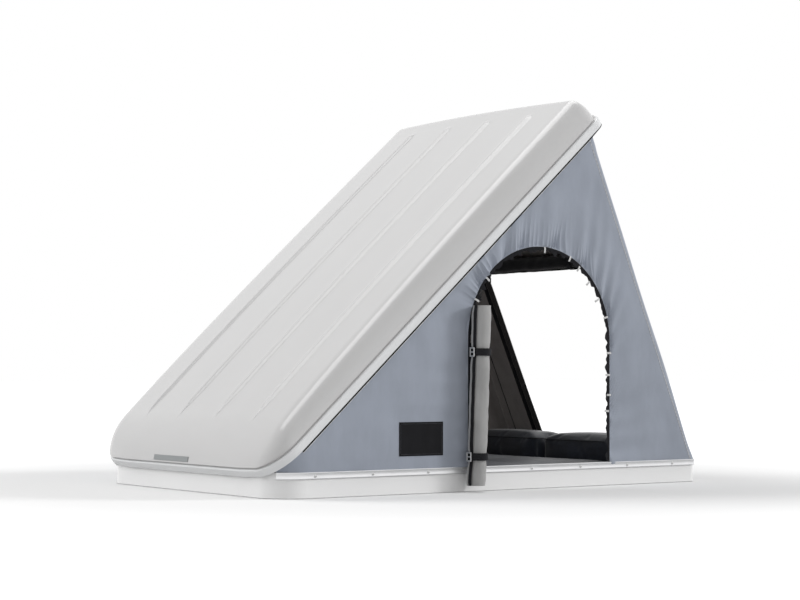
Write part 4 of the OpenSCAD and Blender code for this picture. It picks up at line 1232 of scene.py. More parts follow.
@dataclass
class Tray:
    """The base tray, its clamp strips and their screws."""

    wall: float = 6.0
    floor_z: float = 30.0
    skirt: float = 24.0
    strip_in: float = 3.0
    strip_out: float = 6.0
    screw_z: float = 80.0
    side_screws: Triple = (-890.0, 1005.0, 256.0)
    rear_screws: tuple[float, ...] = (-480.0, -240.0, 0.0, 240.0, 480.0)
    screw: Pairs = ((5.5, 0), (5.5, 0.7), (4.9, 1.4), (3.6, 1.9), (1.8, 2.15), (0.01, 2.2))
    rib: tuple[float, float] = (850.0, 30.0)

    def shell(self, palette: Palette) -> None:
        """Wall section with a foot bead and a rounded rim, carried round, and a floor with a rib below.

        Args:
            palette: The tent's finishes.
        """
        line = Outline(-HALF_L, HALF_L, HALF_W, FRONT_R, REAR_R, 24)
        section = [
            (-self.wall, 0), (0.4, 0), (1.5, 0.5), (2, 1.6), (2, 3.4), (1.5, 4.6), (0.5, 5.2), (0, 6.4),
            (0, BASE_H - 1.6), (-0.5, BASE_H - 0.5), (-1.6, BASE_H),
            (-self.wall + 1.2, BASE_H), (-self.wall, BASE_H - 1.2), (-self.wall, self.floor_z),
        ]
        work = Piecework("tray_moulding")
        wall = carry(line.loop(), section)
        work.grid(wall, (True, False))
        under = carry(line.loop(), [(-self.wall, self.skirt)])[:, 0]
        work.grid(np.stack([wall[:, 0], under], axis=1), (True, False))
        work.cap(wall[:, -1])
        work.cap(under)
        long, wide = self.rib
        work.block((-long, -wide, 0), (long, wide, self.skirt), 2.0)
        settle(work.build(palette.tray), "base", "tray", "base_tray")

    def strip_section(self) -> list[tuple[float, float]]:
        """Extruded strip with a raised bead along each edge and a band between them.

        Returns:
            Section points as [distance outwards, height].
        """
        a, b, z0, z1 = self.strip_in, self.strip_out, STRIP_Z, BASE_H
        return [
            (a, z0), (b - 0.4, z0), (b, z0 + 0.5), (b, z0 + 3), (b - 0.8, z0 + 4),
            (b - 0.8, z1 - 4), (b, z1 - 3), (b, z1 - 0.5), (b - 0.4, z1), (a, z1),
        ]

    def strips(self, palette: Palette) -> None:
        """Two side strips that start on the front corners, and a rear strip round both rear corners.

        Args:
            palette: The tent's finishes.
        """
        line = Outline(-HALF_L, HALF_L, HALF_W, FRONT_R, REAR_R, 20)
        begin = math.degrees(math.acos(min(1.0, (FRONT_R - STRIP_START) / FRONT_R)))
        straight = np.array([[HALF_L - REAR_R, -HALF_W]])
        points, normals = line.arc(2, begin, 90)
        side = (np.concatenate([points, straight]), np.concatenate([normals, [[0.0, -1.0]]]))
        for name, sign in (("left", 1), ("right", -1)):
            work = Piecework(f"{name}_clamp_strip")
            work.tube(carry(tuple(part * [1, sign] for part in side), self.strip_section()))
            settle(work.build(palette.strip), "base", "strip", f"{name}_strip")
        arcs = [line.arc(3), line.arc(0)]
        rear = tuple(np.concatenate([arc[k] for arc in arcs]) for k in (0, 1))
        work = Piecework("rear_clamp_strip")
        work.tube(carry(rear, self.strip_section()))
        settle(work.build(palette.strip), "base", "strip", "rear_strip")

    def screws(self, palette: Palette) -> None:
        """Dished screw heads, each a turned profile crossed by two black bars, painted shade that stands for
        the cross recess.

        Args:
            palette: The tent's finishes.
        """
        turn = round_angles(18)
        profile = np.array(self.screw)
        out, up = profile[:, :1], np.repeat(profile[:, 1:], len(turn), axis=1)
        head = np.stack([out * np.cos(turn), out * np.sin(turn), up], axis=-1)
        face, tail = HALF_W + self.strip_out, HALF_L + self.strip_out
        places = [
            ((x, s * face, self.screw_z), np.array([[1, 0, 0], [0, 0, 1], [0, s, 0]]))
            for s in (-1, 1) for x in np.arange(*self.side_screws)
        ]
        places += [
            ((tail, y, self.screw_z), np.array([[0, 1, 0], [0, 0, 1], [1, 0, 0]])) for y in self.rear_screws
        ]
        work = Piecework("strip_screws")
        for spot, axes in places:
            work.grid(head @ axes + spot, (False, True))
            # Two thin black bars, almost flush with each head: painted shade in place of the cross recess,
            # which has no hollow of its own.
            for long, wide in ((2.4, 0.4), (0.4, 2.4)):
                ring = np.array([(-long, -wide), (long, -wide), (long, wide), (-long, wide)])
                slot = np.stack([np.column_stack([ring, np.full(4, h)]) for h in (1.0, 2.2)])
                work.tube(slot @ axes + spot, finish=1)
        settle(work.build(palette.steel, palette.black, sharp=30), "base", "steel", "strip_rivets")

    def build(self, palette: Palette) -> None:
        """Make every piece.

        Args:
            palette: The tent's finishes.
        """
        self.shell(palette)
        self.strips(palette)
        self.screws(palette)


@dataclass
class SideWall:
    """A gathered side wall with its doorway and zip."""

    side: Side
    arch_x: float = 183.0
    arch_r: float = 368.0
    arch_z: float = 585.0
    foot_z: float = 70.0
    front_x: float = -1018.0
    zip_in: float = 0.9
    zip_w: float = 13.0
    tooth_pitch: float = 5.2
    tooth_h: float = 1.3
    gather_pitch: float = 21.0
    gather_h: float = 8.6
    fan_h: float = 6.0
    wave_h: float = 3.0

    @property
    def name(self) -> str:
        """The side's name in the CAD nodes."""
        return self.side.name.lower()

    @property
    def girth(self) -> float:
        """Length round the doorway's edge, from foot to foot."""
        return 2 * (self.arch_z - self.foot_z) + math.pi * self.arch_r

    def arch(self, share: Array, inset: float = 0.0) -> Array:
        """Points [x, z] round the doorway's edge from its front foot over the arch to its rear foot.

        Args:
            share: Shares of the way round, from 0 to 1.
            inset: Distance into the doorway.

        Returns:
            The points.
        """
        upright, radius = self.arch_z - self.foot_z, self.arch_r - inset
        along = share * self.girth
        turn = np.clip((along - upright) / self.arch_r, 0, math.pi)
        x = self.arch_x - radius * np.cos(turn)
        climb = np.minimum(along, self.girth - along)
        z = np.where((turn > 0) & (turn < math.pi), self.arch_z + radius * np.sin(turn), self.foot_z + climb)
        return np.stack([x, np.minimum(z, self.arch_z + radius)], axis=-1)

    def edge(self, share: Array) -> Array:
        """Points [x, z] round the wall's own edge: strip, lid, rear seam and strip again.

        Args:
            share: Shares of the way round, from 0 to 1.

        Returns:
            The points.
        """
        high = HINGE_Z + BATTEN
        hem = opened(np.array([[self.front_x + 6, 0, high], [SEAM_X, 0, high], [SEAM_X, 0, HINGE_Z]]))
        corners = np.array([
            [self.front_x, self.foot_z], *hem[:, [0, 2]], [SEAM_FOOT_X, BASE_H], [SEAM_FOOT_X, self.foot_z],
        ])
        run = np.concatenate([[0], np.cumsum(np.hypot(*np.diff(corners, axis=0).T))])
        return np.stack([np.interp(share * run[-1], run, corners[:, k]) for k in (0, 1)], axis=-1)

    def folds(self, share: Array, row: Array, reach: Array) -> Array:
        """Height of the gathers at the zip, the longer folds that fan from it, and loose waves.

        Args:
            share: Shares of the way round the doorway.
            row: Shares of the way out from it to the wall's edge.
            reach: Length of that way.

        Returns:
            Heights above the plain cloth.
        """
        along = share * self.girth
        far = row * reach
        seed = 11 if self.side is Side.LEFT else 23
        wander = Ripple(seed, 9, 90, 260).at(along, far * 0.3)
        lean = far * smoothstep(share, 0.56, 0.74) * 0.9
        crease = (1 - np.abs(np.sin(math.pi * (along + lean) / self.gather_pitch + 1.5 * wander))) ** 1.2
        fade = np.exp(-((far / lerp(40.0, 72.0, np.clip(0.5 + 0.5 * wander, 0, 1))) ** 1.6))
        gathers = (self.gather_h * crease - 2.2) * fade * np.clip(0.8 + 0.4 * wander, 0.2, 1.3)
        gathers = gathers * smoothstep(share, 0.27, 0.36) * smoothstep(1 - share, 0.02, 0.12)
        slow = Ripple(seed + 1, 7, 60, 150).at(along, far * 0.10)
        fan = self.fan_h * slow * np.exp(-far / 170) * (0.35 + 0.65 * smoothstep(share, 0.24, 0.34))
        waves = self.wave_h * Ripple(seed + 2, 12, 260, 900).at(along * 0.6, far)
        held = smoothstep(row, 0, 0.02) * smoothstep(reach - far, 8, 75)
        return (gathers + fan + waves) * held

    def out(self, height: Array) -> Array:
        """Signed Y of a distance from the centre line."""
        return self.side.value * height

    def wall(self, palette: Palette) -> None:
        """The wall: lines ruled from the doorway's edge to the wall's own edge, with its folds.

        Args:
            palette: The tent's finishes.
        """
        share, even = steps((0, 1, 1101), (0, 1, 31))
        row = even**1.6
        inner, outer = self.arch(share), self.edge(share)
        spot = lerp(inner, outer, row[..., None])
        reach = np.hypot(*np.moveaxis(outer - inner, -1, 0))
        sewn = 0.0
        if self.side is Side.LEFT:
            beside = np.abs(spot[..., 0] - PATCH_X) - (PATCH_W + 1) / 2
            above = np.abs(spot[..., 1] - PATCH_Z) - (PATCH_H + 1) / 2
            sewn = 1 - smoothstep(np.maximum(beside, above), 5, 70)
        lifted = cloth_half(spot[..., 0], spot[..., 1]) + self.folds(share, row, reach) * (1 - sewn)
        layers = (HALF_CLOTH, -HALF_CLOTH)
        faces = [np.stack([spot[..., 0], self.out(lifted + t), spot[..., 1]], axis=-1) for t in layers]
        work = Piecework(f"{self.name}_wall_cloth")
        work.slab(*faces, (0, 1))
        piece = fold_with_lid(work.build(palette.cloth, palette.flap, sharp=70))
        credit(piece, "cloth", f"{self.name}_wall")

    def zip(self, palette: Palette) -> None:
        """Zip tape round the doorway with a row of teeth along its middle.

        Args:
            palette: The tent's finishes.
        """
        share, across = steps((0.012, 0.988, 900), (0, 1, 9))
        edge = self.arch(share, self.zip_in), self.arch(share, self.zip_in + self.zip_w)
        along = share * self.girth
        wave = Ripple(5, 8, 22, 70).at(along, across * 0) * smoothstep(across, 0.6, 1)
        frill = (1.25 + 0.5 * wave, 2.4 * wave) if self.side is Side.LEFT else (1.0, 0.0)
        spot = lerp(*edge, (across * frill[0])[..., None])
        ridge = self.tooth_h * np.exp(-(((across - 0.4) / 0.12) ** 2))
        teeth = ridge * (0.72 + 0.28 * np.sin(along * 2 * math.pi / self.tooth_pitch))
        face = HALF_W + CLOTH_OUT + frill[1]
        layers = (0.6 + teeth, np.full_like(teeth, -0.6))
        sides = [np.stack([spot[..., 0], self.out(face + t), spot[..., 1]], axis=-1) for t in layers]
        work = Piecework(f"{self.name}_zip_tape")
        work.slab(*sides)
        credit(fold_with_lid(work.build(palette.tape, sharp=60)), "black_plastic", f"{self.name}_door_zip")

    def build(self, palette: Palette) -> None:
        """Make the wall and its zip."""
        self.wall(palette)
        self.zip(palette)


@dataclass
class RolledDoor:
    """The left door rolled up beside its doorway, with straps, buckles and pulls, and the wall's patch."""

    wall: SideWall
    top: Triple = (-149.0, -688.5, 711.0)
    foot: Triple = (-179.0, -694.5, 25.0)
    radius: float = 41.0
    core: float = 15.0
    turns: float = 4.0
    strap_shares: tuple[float, float] = (0.26, 0.84)
    strap_w: float = 28.0
    wall_y: float = -648.0
    strap_in: float = 0.935
    tail_half: float = 12.0
    buckle: tuple[tuple[Triple, Triple], ...] = (
        ((-5, -13, -18), (-1, 13, -13)), ((-5, -13, 13), (-1, 13, 18)), ((-5, -13, -2), (-2, 13, 2)),
        ((-4.4, -13, -17), (-0.6, -9.5, 17)), ((-4.4, 9.5, -17), (-0.6, 13, 17)),
    )
    pull_turns: tuple[float, float] = (32.0, 44.0)
    pull: tuple[tuple[Triple, Triple, float], ...] = (
        ((-4.5, -3, -9), (4.5, 0, 0), 1.0), ((-1.6, -2.4, -16), (1.6, -0.8, -8), 0.5),
        ((-3.2, -2.8, -34), (3.2, -0.6, -15), 0.7),
    )
    stitch_y: tuple[float, float] = (-650.0, -649.2)
    stitch_rows: tuple[float, float] = (97.0, 57.0)
    stitch_step: float = 5.0
    stitch_l: float = 3.0
    stitch_half: float = 0.5
    tags: Pairs = (
        (202, 942), (335, 912), (382, 874), (-90, 816), (-144, 733), (532, 680),
        (543, 446), (537, 300), (434, 817), (483, 749), (548, 365), (549, 535),
    )
    tag_reach: float = 12.0
    tag_half: float = 4.0
    tag_rise: float = 3.0

    def line(self, share: Array) -> Array:
        """Points of the roll's axis, from its top to its foot."""
        return lerp(np.array(self.top), np.array(self.foot), np.asarray(share, float)[..., None])

    def waist(self, share: Array) -> Array:
        """How far the straps draw the roll in, and how its ends loosen."""
        grip = sum(np.exp(-(((share - at) / 0.045) ** 2)) for at in self.strap_shares)
        return 1 - 0.10 * grip - 0.05 * smoothstep(share, 0.96, 1) - 0.08 * smoothstep(0.05 - share, 0, 0.05)

    def spiral(self, palette: Palette) -> None:
        """One sheet wound up: its radius grows evenly with the turn, and it wrinkles between the straps.

        Args:
            palette: The tent's finishes.
        """
        share, turn = steps((0, 1, 120), (0, 1, 190))
        angle = 2 * math.pi * self.turns * turn + 3.5
        wrinkle = Ripple(31, 10, 40, 160).at(share * 690, angle * 24) * (0.25 + 0.75 * turn)
        slack = 0.35 + 0.65 * np.abs(np.sin(math.pi * (share - 0.26) / 0.58))
        limit = lerp(self.core, self.radius * 0.965, turn)
        wind = limit * self.waist(share) + 0.9 * wrinkle * slack * smoothstep(turn, 0.05, 0.3)
        sag = 3.0 * smoothstep(share, 0.86, 1)[..., None] * np.array([-1.0, 0.0, 0.0])
        axis, wind = self.line(share) + sag, np.minimum(wind, self.radius)
        faces = [ring_about(axis, (1, 0, 0), (0, 1, 0), wind - t, angle) for t in (0, 1.3)]
        work = Piecework("rolled_left_door")
        work.slab(*(face[:, :-3] for face in faces))
        work.slab(*(face[:, -4:] for face in faces), (1, 1))
        piece = credit(work.build(palette.roll, palette.tape, sharp=70), "cloth", "left_door_roll")
        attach(piece, "base")
        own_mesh(piece)

    def straps(self, palette: Palette) -> None:
        """Webbing bands round the roll with a tail sewn to the wall, and ladder buckles on their fronts.

        Args:
            palette: The tent's finishes.
        """
        angle = round_angles(64)
        for name, share in zip(("upper", "lower"), self.strap_shares):
            centre = self.line(np.array(share))
            x, y, z = centre
            inner, half, tail = self.radius * self.strap_in, self.strap_w / 2, self.tail_half
            section = [(inner, -half), (inner + 1.5, -half + 0.4), (inner + 1.5, half - 0.4), (inner, half)]
            rings = np.stack([
                ring_about(centre + [0, 0, h], (1, 0, 0), (0, 1, 0), np.full_like(angle, r), angle)
                for r, h in section
            ], axis=1)
            work = Piecework(f"{name}_webbing_strap")
            work.grid(rings, (True, True))
            work.block((x - tail, y + inner, z - half), (x + tail, self.wall_y, z + half), 0.6)
            piece = settle(work.build(palette.strap), "base", "webbing", f"{name}_roll_strap")
            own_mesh(piece)
        work = Piecework("ladder_buckles")
        for share in self.strap_shares:
            front = self.line(np.array(share)) - [self.radius * self.strap_in + 1.8, 0, 0]
            for low, high in self.buckle:
                work.block(front + low, front + high, 0.8)
        piece = settle(work.build(palette.steel), "base", "steel", "strap_buckles")
        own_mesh(piece)

    def pulls(self, palette: Palette) -> None:
        """Two zip sliders, each with a tapered tongue that hangs from it.

        Args:
            palette: The tent's finishes.
        """
        work = Piecework("zip_pullers")
        radius = self.wall.arch_r - self.wall.zip_in - self.wall.zip_w / 2
        for turn in np.radians(self.pull_turns):
            x, z = self.wall.arch_x - radius * math.cos(turn), self.wall.arch_z + radius * math.sin(turn)
            head = np.array([x, -(HALF_W + CLOTH_OUT + 1), z])
            for low, high, bevel in self.pull:
                work.block(head + low, head + high, bevel)
        piece = settle(work.build(palette.plastic), "base", "black_plastic", "left_zip_pulls")
        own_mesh(piece)

    def patch(self, palette: Palette) -> None:
        """Plain sewn patch: a slightly pillowed slab with a row of stitches inside its edge.

        Args:
            palette: The tent's finishes.
        """
        wide, high = PATCH_W / 2, PATCH_H / 2
        x, z = steps((-wide, wide, 60), (-high, high, 40))
        rim = smoothstep(np.minimum(wide - np.abs(x), high - np.abs(z)), 0, 6)
        lift = 0.5 + 0.9 * rim + 0.25 * Ripple(9, 6, 40, 110).at(x, z) * rim
        back = np.full_like(x, self.wall_y - 0.2)
        faces = [np.stack([x + PATCH_X, y, z + PATCH_Z], axis=-1) for y in (back - lift, back)]
        work = Piecework("sewn_patch")
        work.slab(*faces)
        (low, top), (beside, above), thin = self.stitch_y, self.stitch_rows, self.stitch_half
        for z in (PATCH_Z + above, PATCH_Z - above):
            for x in PATCH_X + np.arange(2 - beside, beside - 1, self.stitch_step):
                work.block((x, low, z - thin), (x + self.stitch_l, top, z + thin), 0.2, 1)
        for x in (PATCH_X + beside, PATCH_X - beside):
            for z in PATCH_Z + np.arange(2 - above, above - 3, self.stitch_step):
                work.block((x - thin, low, z), (x + thin, top, z + self.stitch_l), 0.2, 1)
        credit(fold_with_lid(work.build(palette.patch, palette.thread)), "patch", "wall_patch")

    def loops(self, palette: Palette) -> None:
        """Short pale webbing loops sewn beside the zip, each bent out in a low arc.

        Args:
            palette: The tent's finishes.
        """
        work = Piecework("pale_loops")
        bend, across = steps((0, math.pi, 13), (-self.tag_half, self.tag_half, 3))
        for x, z in self.tags:
            radial = math.atan2(max(0.0, z - self.wall.arch_z), x - self.wall.arch_x)
            away = np.array([math.cos(radial), 0, math.sin(radial)])
            side = np.array([-math.sin(radial), 0, math.cos(radial)])
            centre = np.array([x, 0, z]) - away * 2
            spot = centre + np.cos(bend)[..., None] * self.tag_reach * away + across[..., None] * side
            face = cloth_half(spot[..., 0], spot[..., 2]) + 1.4 + self.tag_rise * np.sin(bend)
            faces = [np.stack([spot[..., 0], -(face - t), spot[..., 2]], axis=-1) for t in (0, 0.8)]
            work.slab(*faces)
        credit(fold_with_lid(work.build(palette.tag)), "webbing")

    def build(self, palette: Palette) -> None:
        """Make every piece.

        Args:
            palette: The tent's finishes.
        """
        self.spiral(palette)
        self.straps(palette)
        self.pulls(palette)
        self.patch(palette)
        self.loops(palette)


@dataclass
class ShutDoor:
    """The right door, zipped shut in its doorway."""

    wall: SideWall

    def build(self, palette: Palette) -> None:
        """A sheet ruled between the two uprights and over the arch, with loose waves.

        Args:
            palette: The tent's finishes.
        """
        inset = 2 * self.wall.zip_in + self.wall.zip_w
        across, up = steps((-1, 1, 90), (0, 1, 120))
        radius = self.wall.arch_r - inset
        x = self.wall.arch_x + radius * across
        high = self.wall.arch_z + radius * np.sqrt(np.clip(1 - across**2, 0, 1))
        z = lerp(np.full_like(x, BASE_H + 0.4), high, up)
        hold = smoothstep(1 - np.abs(across), 0, 0.1) * smoothstep(up, 0, 0.06) * smoothstep(1 - up, 0, 0.06)
        wave = 3.0 * Ripple(41, 12, 240, 800).at(x * 1.3, z * 0.7) * hold
        layers = (HALF_CLOTH, -HALF_CLOTH)
        faces = [np.stack([x, HALF_W + CLOTH_OUT + wave + t, z], axis=-1) for t in layers]
        work = Piecework("right_door_cloth")
        work.slab(*faces, (0, 1))
        piece = fold_with_lid(work.build(palette.cloth, palette.flap, sharp=70))
        credit(piece, "cloth", "right_door_panel")


@dataclass
class RearWall:
    """The rear wall with its doorway, the inner flap at one side of it and the rolled door above."""

    strip_h: float = 24.0
    batten: float = BATTEN
    door_half: float = 540.0
    door_h: float = 883.0
    half: float = HEM_HALF
    low: tuple[float, float] = (1051.5, 94.0)
    flap_foot: float = 302.0
    flap_head: float = 328.0
    flap_side: float = 539.4
    flap_climb: tuple[float, float] = (30.0, 906.4)
    roll_r: float = 36.0
    roll_half: float = 525.0
    roll_wind: tuple[float, float] = (12.0, 34.6)
    roll_turns: float = 3.5
    roll_gaps: tuple[float, float] = (4.0, 7.0)
    tie_shares: tuple[float, float] = (0.2, 0.8)
    tie_r: tuple[float, float] = (33.7, 35.2)
    tie_reach: float = 41.0
    tie_half: float = 14.0
    corner_r: tuple[float, float] = (41.5, 53.5)
    corner_turn: float = 87.0
    seam_r: float = 1.7
    shut_angle: float = 3.6

    def __post_init__(self) -> None:
        """Work out the slope between the tray's rear and the lid's tail."""
        rim = opened(np.array([[TAIL_X, 0, HINGE_Z], [TAIL_X, 0, HINGE_Z + self.batten]]))[:, [0, 2]]
        seam = opened(np.array([[SEAM_X, 0, HINGE_Z], [SEAM_X, 0, HINGE_Z + self.batten]]))[:, [0, 2]]
        self.slope = float(np.hypot(*(rim[0] - self.low)))
        self.way = (rim[0] - self.low) / self.slope
        self.outward = np.array([self.way[1], -self.way[0]])
        self.total = self.strip_h + self.slope + self.batten
        self.knots = np.array([0, self.strip_h, self.strip_h + self.slope, self.total])
        self.middle_line = np.array([[self.low[0], STRIP_Z], self.low, rim[0], rim[1]])
        self.seam_line = np.array([[SEAM_FOOT_X, STRIP_Z], [SEAM_FOOT_X, BASE_H], seam[0], seam[1]])

    def on_line(self, line: Array, climb: Array) -> Array:
        """Points [x, z] at a way up from the hem on a bent line."""
        return np.stack([np.interp(climb, self.knots, line[:, k]) for k in (0, 1)], axis=-1)

    def place(self, y: Array, climb: Array, lift: Array | float) -> Array:
        """Where cloth at y and a way up stands, turned round the corner past the flat and lifted off.

        Args:
            y: Positions across, measured along the cloth.
            climb: Ways up from the hem.
            lift: Distance off the plain cloth.

        Returns:
            The points.
        """
        radius = lerp(*self.corner_r, np.clip((climb - self.strip_h) / self.slope, 0, 1))
        turn = math.radians(self.corner_turn) * np.clip((np.abs(y) - self.half + radius) / radius, 0, 1)
        middle, seam = self.on_line(self.middle_line, climb), self.on_line(self.seam_line, climb)
        spot = lerp(middle, seam, (1 - np.cos(turn))[..., None])
        wide = np.where(turn > 0, np.sign(y) * (self.half - radius + radius * np.sin(turn)), y)
        push = np.stack([
            self.outward[0] * np.cos(turn), np.sign(y) * np.sin(turn), self.outward[1] * np.cos(turn)
        ], axis=-1) * np.asarray(lift)[..., None]
        return np.stack([spot[..., 0], wide, spot[..., 1]], axis=-1) + push

    @staticmethod
    def doorframe(half: float, climb: Array, across: Array, head: float) -> Array:
        """Points [y, way up] up one side, across the head and down the other side.

        Args:
            half: Half of the width.
            climb: Ways up of the points on a side.
            across: Shares across of the points on the head.
            head: Way up of the head.

        Returns:
            The points, in order.
        """
        return np.concatenate([
            np.column_stack([np.full_like(climb, -half), climb]),
            np.column_stack([across * half, np.full_like(across, head)]),
            np.column_stack([np.full_like(climb, half), climb[::-1]]),
        ])

    def wall(self, palette: Palette) -> None:
        """Lines ruled from the doorway's edge to the outer edge, grey outside and brown inside.

        Args:
            palette: The tent's finishes.
        """
        foot, door = self.strip_h, self.strip_h + self.door_h
        low, rise = np.linspace(0, foot, 5), np.linspace(foot + 6, door, 90)
        lift_in = np.concatenate([low, rise])
        lift_out = np.concatenate([low, np.interp(rise, [foot, door], [foot, self.total])])
        across = np.linspace(-1, 1, 121)[1:-1]
        inner = self.doorframe(self.door_half, lift_in, across, door)
        outer = self.doorframe(self.half, lift_out, across, self.total)
        row = np.linspace(0, 1, 46)[None, :, None]
        grid = lerp(inner[:, None, :], outer[:, None, :], row)
        y, climb = grid[..., 0], grid[..., 1]
        free = smoothstep(climb, foot, 110) * smoothstep(self.total - self.batten - climb, 0, 90)
        free = free * smoothstep(row[..., 0], 0, 0.12) * smoothstep(1 - row[..., 0], 0, 0.25)
        wave = 5.0 * Ripple(51, 12, 220, 800).at(y * 1.4, climb * 0.6) * free
        work = Piecework("rear_wall_cloth")
        faces = [self.place(y, climb, wave + t) for t in (HALF_CLOTH, -HALF_CLOTH)]
        work.slab(*faces, (0, 1))
        piece = fold_with_lid(work.build(palette.cross_cloth, palette.flap, sharp=70))
        credit(piece, "cloth", "rear_wall")
        bend = 47.0
        spread = self.half + 1.57 * bend - bend
        area = (2 * spread * self.total - 2 * self.door_half * door) * MM * MM
        2 * spread * MM

    def flap_fold(self, y: Array, climb: Array) -> Array:
        """How far the inner flap bows out at a place, held at its head, its foot and its sewn side.

        Args:
            y: Positions across.
            climb: Ways up from the hem.

        Returns:
            Distances off the plain cloth.
        """
        up = (climb - self.flap_climb[0]) / (self.flap_climb[1] - self.flap_climb[0])
        hold = smoothstep(up, 0, 0.05) * smoothstep(1 - up, 0, 0.05) * smoothstep(self.flap_side - y, 0, 14)
        return 3.0 * Ripple(61, 10, 160, 520).at(y * 1.6, climb * 0.5) * hold

    def flap(self, palette: Palette) -> None:
        """Inner flap down one side of the doorway, with a grey edging, a black band and a sewn seam.

        Args:
            palette: The tent's finishes.
        """
        across, up = steps((0, 1, 80), (0, 1, 100))
        climb = lerp(*self.flap_climb, up)
        y = lerp(lerp(self.flap_foot, self.flap_head, up), self.flap_side, across)
        fold = self.flap_fold(y, climb)
        work = Piecework("inner_flap")
        work.slab(self.place(y, climb, fold + 0.6), self.place(y, climb, fold - 0.6))
        piece = fold_with_lid(work.build(palette.flap, sharp=70))
        credit(piece, "inner_cloth", "rear_flap")
        work = Piecework("flap_binding")
        edge, part = steps((0, 1, 100), (0, 1, 5))
        climb = lerp(*self.flap_climb, edge)
        for start, wide, finish in ((0.0, 31.0, 0), (33.0, 25.0, 1), (182.0, 4.0, 1)):
            y = lerp(self.flap_foot, self.flap_head, edge) + start + wide * part
            lift = self.flap_fold(y, climb) - 1.6 - 0.5 * np.sin(math.pi * part)
            work.slab(self.place(y, climb, lift), self.place(y, climb, lift + 0.9), (finish, finish))
        piece = fold_with_lid(work.build(palette.edging, palette.tape))
        credit(piece, "black_cloth", "rear_flap_binding")

    def roll(self, palette: Palette) -> None:
        """The rear door wound up under the wall's head, held by two bands.

        Args:
            palette: The tent's finishes.
        """
        up, inward = self.door_h + self.roll_r + self.roll_gaps[0], self.roll_r + self.roll_gaps[1]
        centre = np.array(self.low) + self.way * up - self.outward * inward
        share, turn = steps((0, 1, 110), (0, 1, 150))
        angle = 2 * math.pi * self.roll_turns * turn
        grip = sum(np.exp(-(((share - at) / 0.03) ** 2)) for at in self.tie_shares)
        wrinkle = Ripple(71, 10, 50, 180).at(share * 1050, angle * 22)
        wind = lerp(*self.roll_wind, turn) * (1 - 0.1 * grip) + 0.8 * wrinkle * smoothstep(turn, 0.1, 0.4)
        wind = np.minimum(wind, self.roll_r)
        y = lerp(-self.roll_half, self.roll_half, share)
        axis = np.stack([np.full_like(share, centre[0]), y, np.full_like(share, centre[1])], axis=-1)
        work = Piecework("rolled_rear_door")
        work.slab(*[ring_about(axis, (0, 0, 1), (1, 0, 0), wind - t, angle) for t in (0, 1.2)])
        piece = fold_with_lid(work.build(palette.lining, sharp=70))
        credit(piece, "black_cloth", "rear_door_roll")
        self.ties(palette, centre)

    def ties(self, palette: Palette, centre: Array) -> None:
        """Two bands round the rolled rear door, each with a tail that is sewn to the wall.

        Args:
            palette: The tent's finishes.
            centre: x and z of the roll's axis.
        """
        work = Piecework("rear_tie_bands")
        around = round_angles(48)
        (inner, outer), half = self.tie_r, self.tie_half
        section = [(inner, -half), (outer, 0.4 - half), (outer, half - 0.4), (inner, half)]
        strip = np.array([(-half, -1.0), (half, -1.0), (half, 1.0), (-half, 1.0)])
        for at in self.tie_shares:
            y = lerp(-self.roll_half, self.roll_half, at)
            middles = [np.array([centre[0], y + h, centre[1]]) for _, h in section]
            rings = [
                ring_about(middle, (0, 0, 1), (1, 0, 0), np.full_like(around, r), around)
                for middle, (r, _) in zip(middles, section)
            ]
            work.grid(np.stack(rings, axis=1), (True, True))
            spots = [
                np.column_stack([
                    centre[0] + self.outward[0] * far + self.way[0] * strip[:, 1], y + strip[:, 0],
                    centre[1] + self.outward[1] * far + self.way[1] * strip[:, 1],
                ])
                for far in (inner, self.tie_reach)
            ]
            work.tube(np.array(spots))
        credit(fold_with_lid(work.build(palette.strap)), "webbing", "rear_roll_ties")

    def piping(self, palette: Palette) -> None:
        """Pale cord sewn into each seam between the rear wall and a side wall.

        Args:
            palette: The tent's finishes.
        """
        climb = np.linspace(self.strip_h + 2, self.strip_h + self.slope - 2, 90)
        spot = self.on_line(self.seam_line, climb)
        turn = round_angles(8)
        work = Piecework("seam_piping")
        for side in Side:
            line = np.column_stack([spot[:, 0], np.full(90, side.value * (self.half + 0.6)), spot[:, 1]])
            radius = np.full_like(turn, self.seam_r)[None, :]
            work.tube(ring_about(line[:, None, :], (1, 0, 0), (0, 1, 0), radius, turn[None, :]))
        credit(fold_with_lid(work.build(palette.tag)), "cloth")

    def build(self, palette: Palette) -> None:
        """Make every piece.

        Args:
            palette: The tent's finishes.
        """
        self.wall(palette)
        self.flap(palette)
        self.roll(palette)
        self.piping(palette)


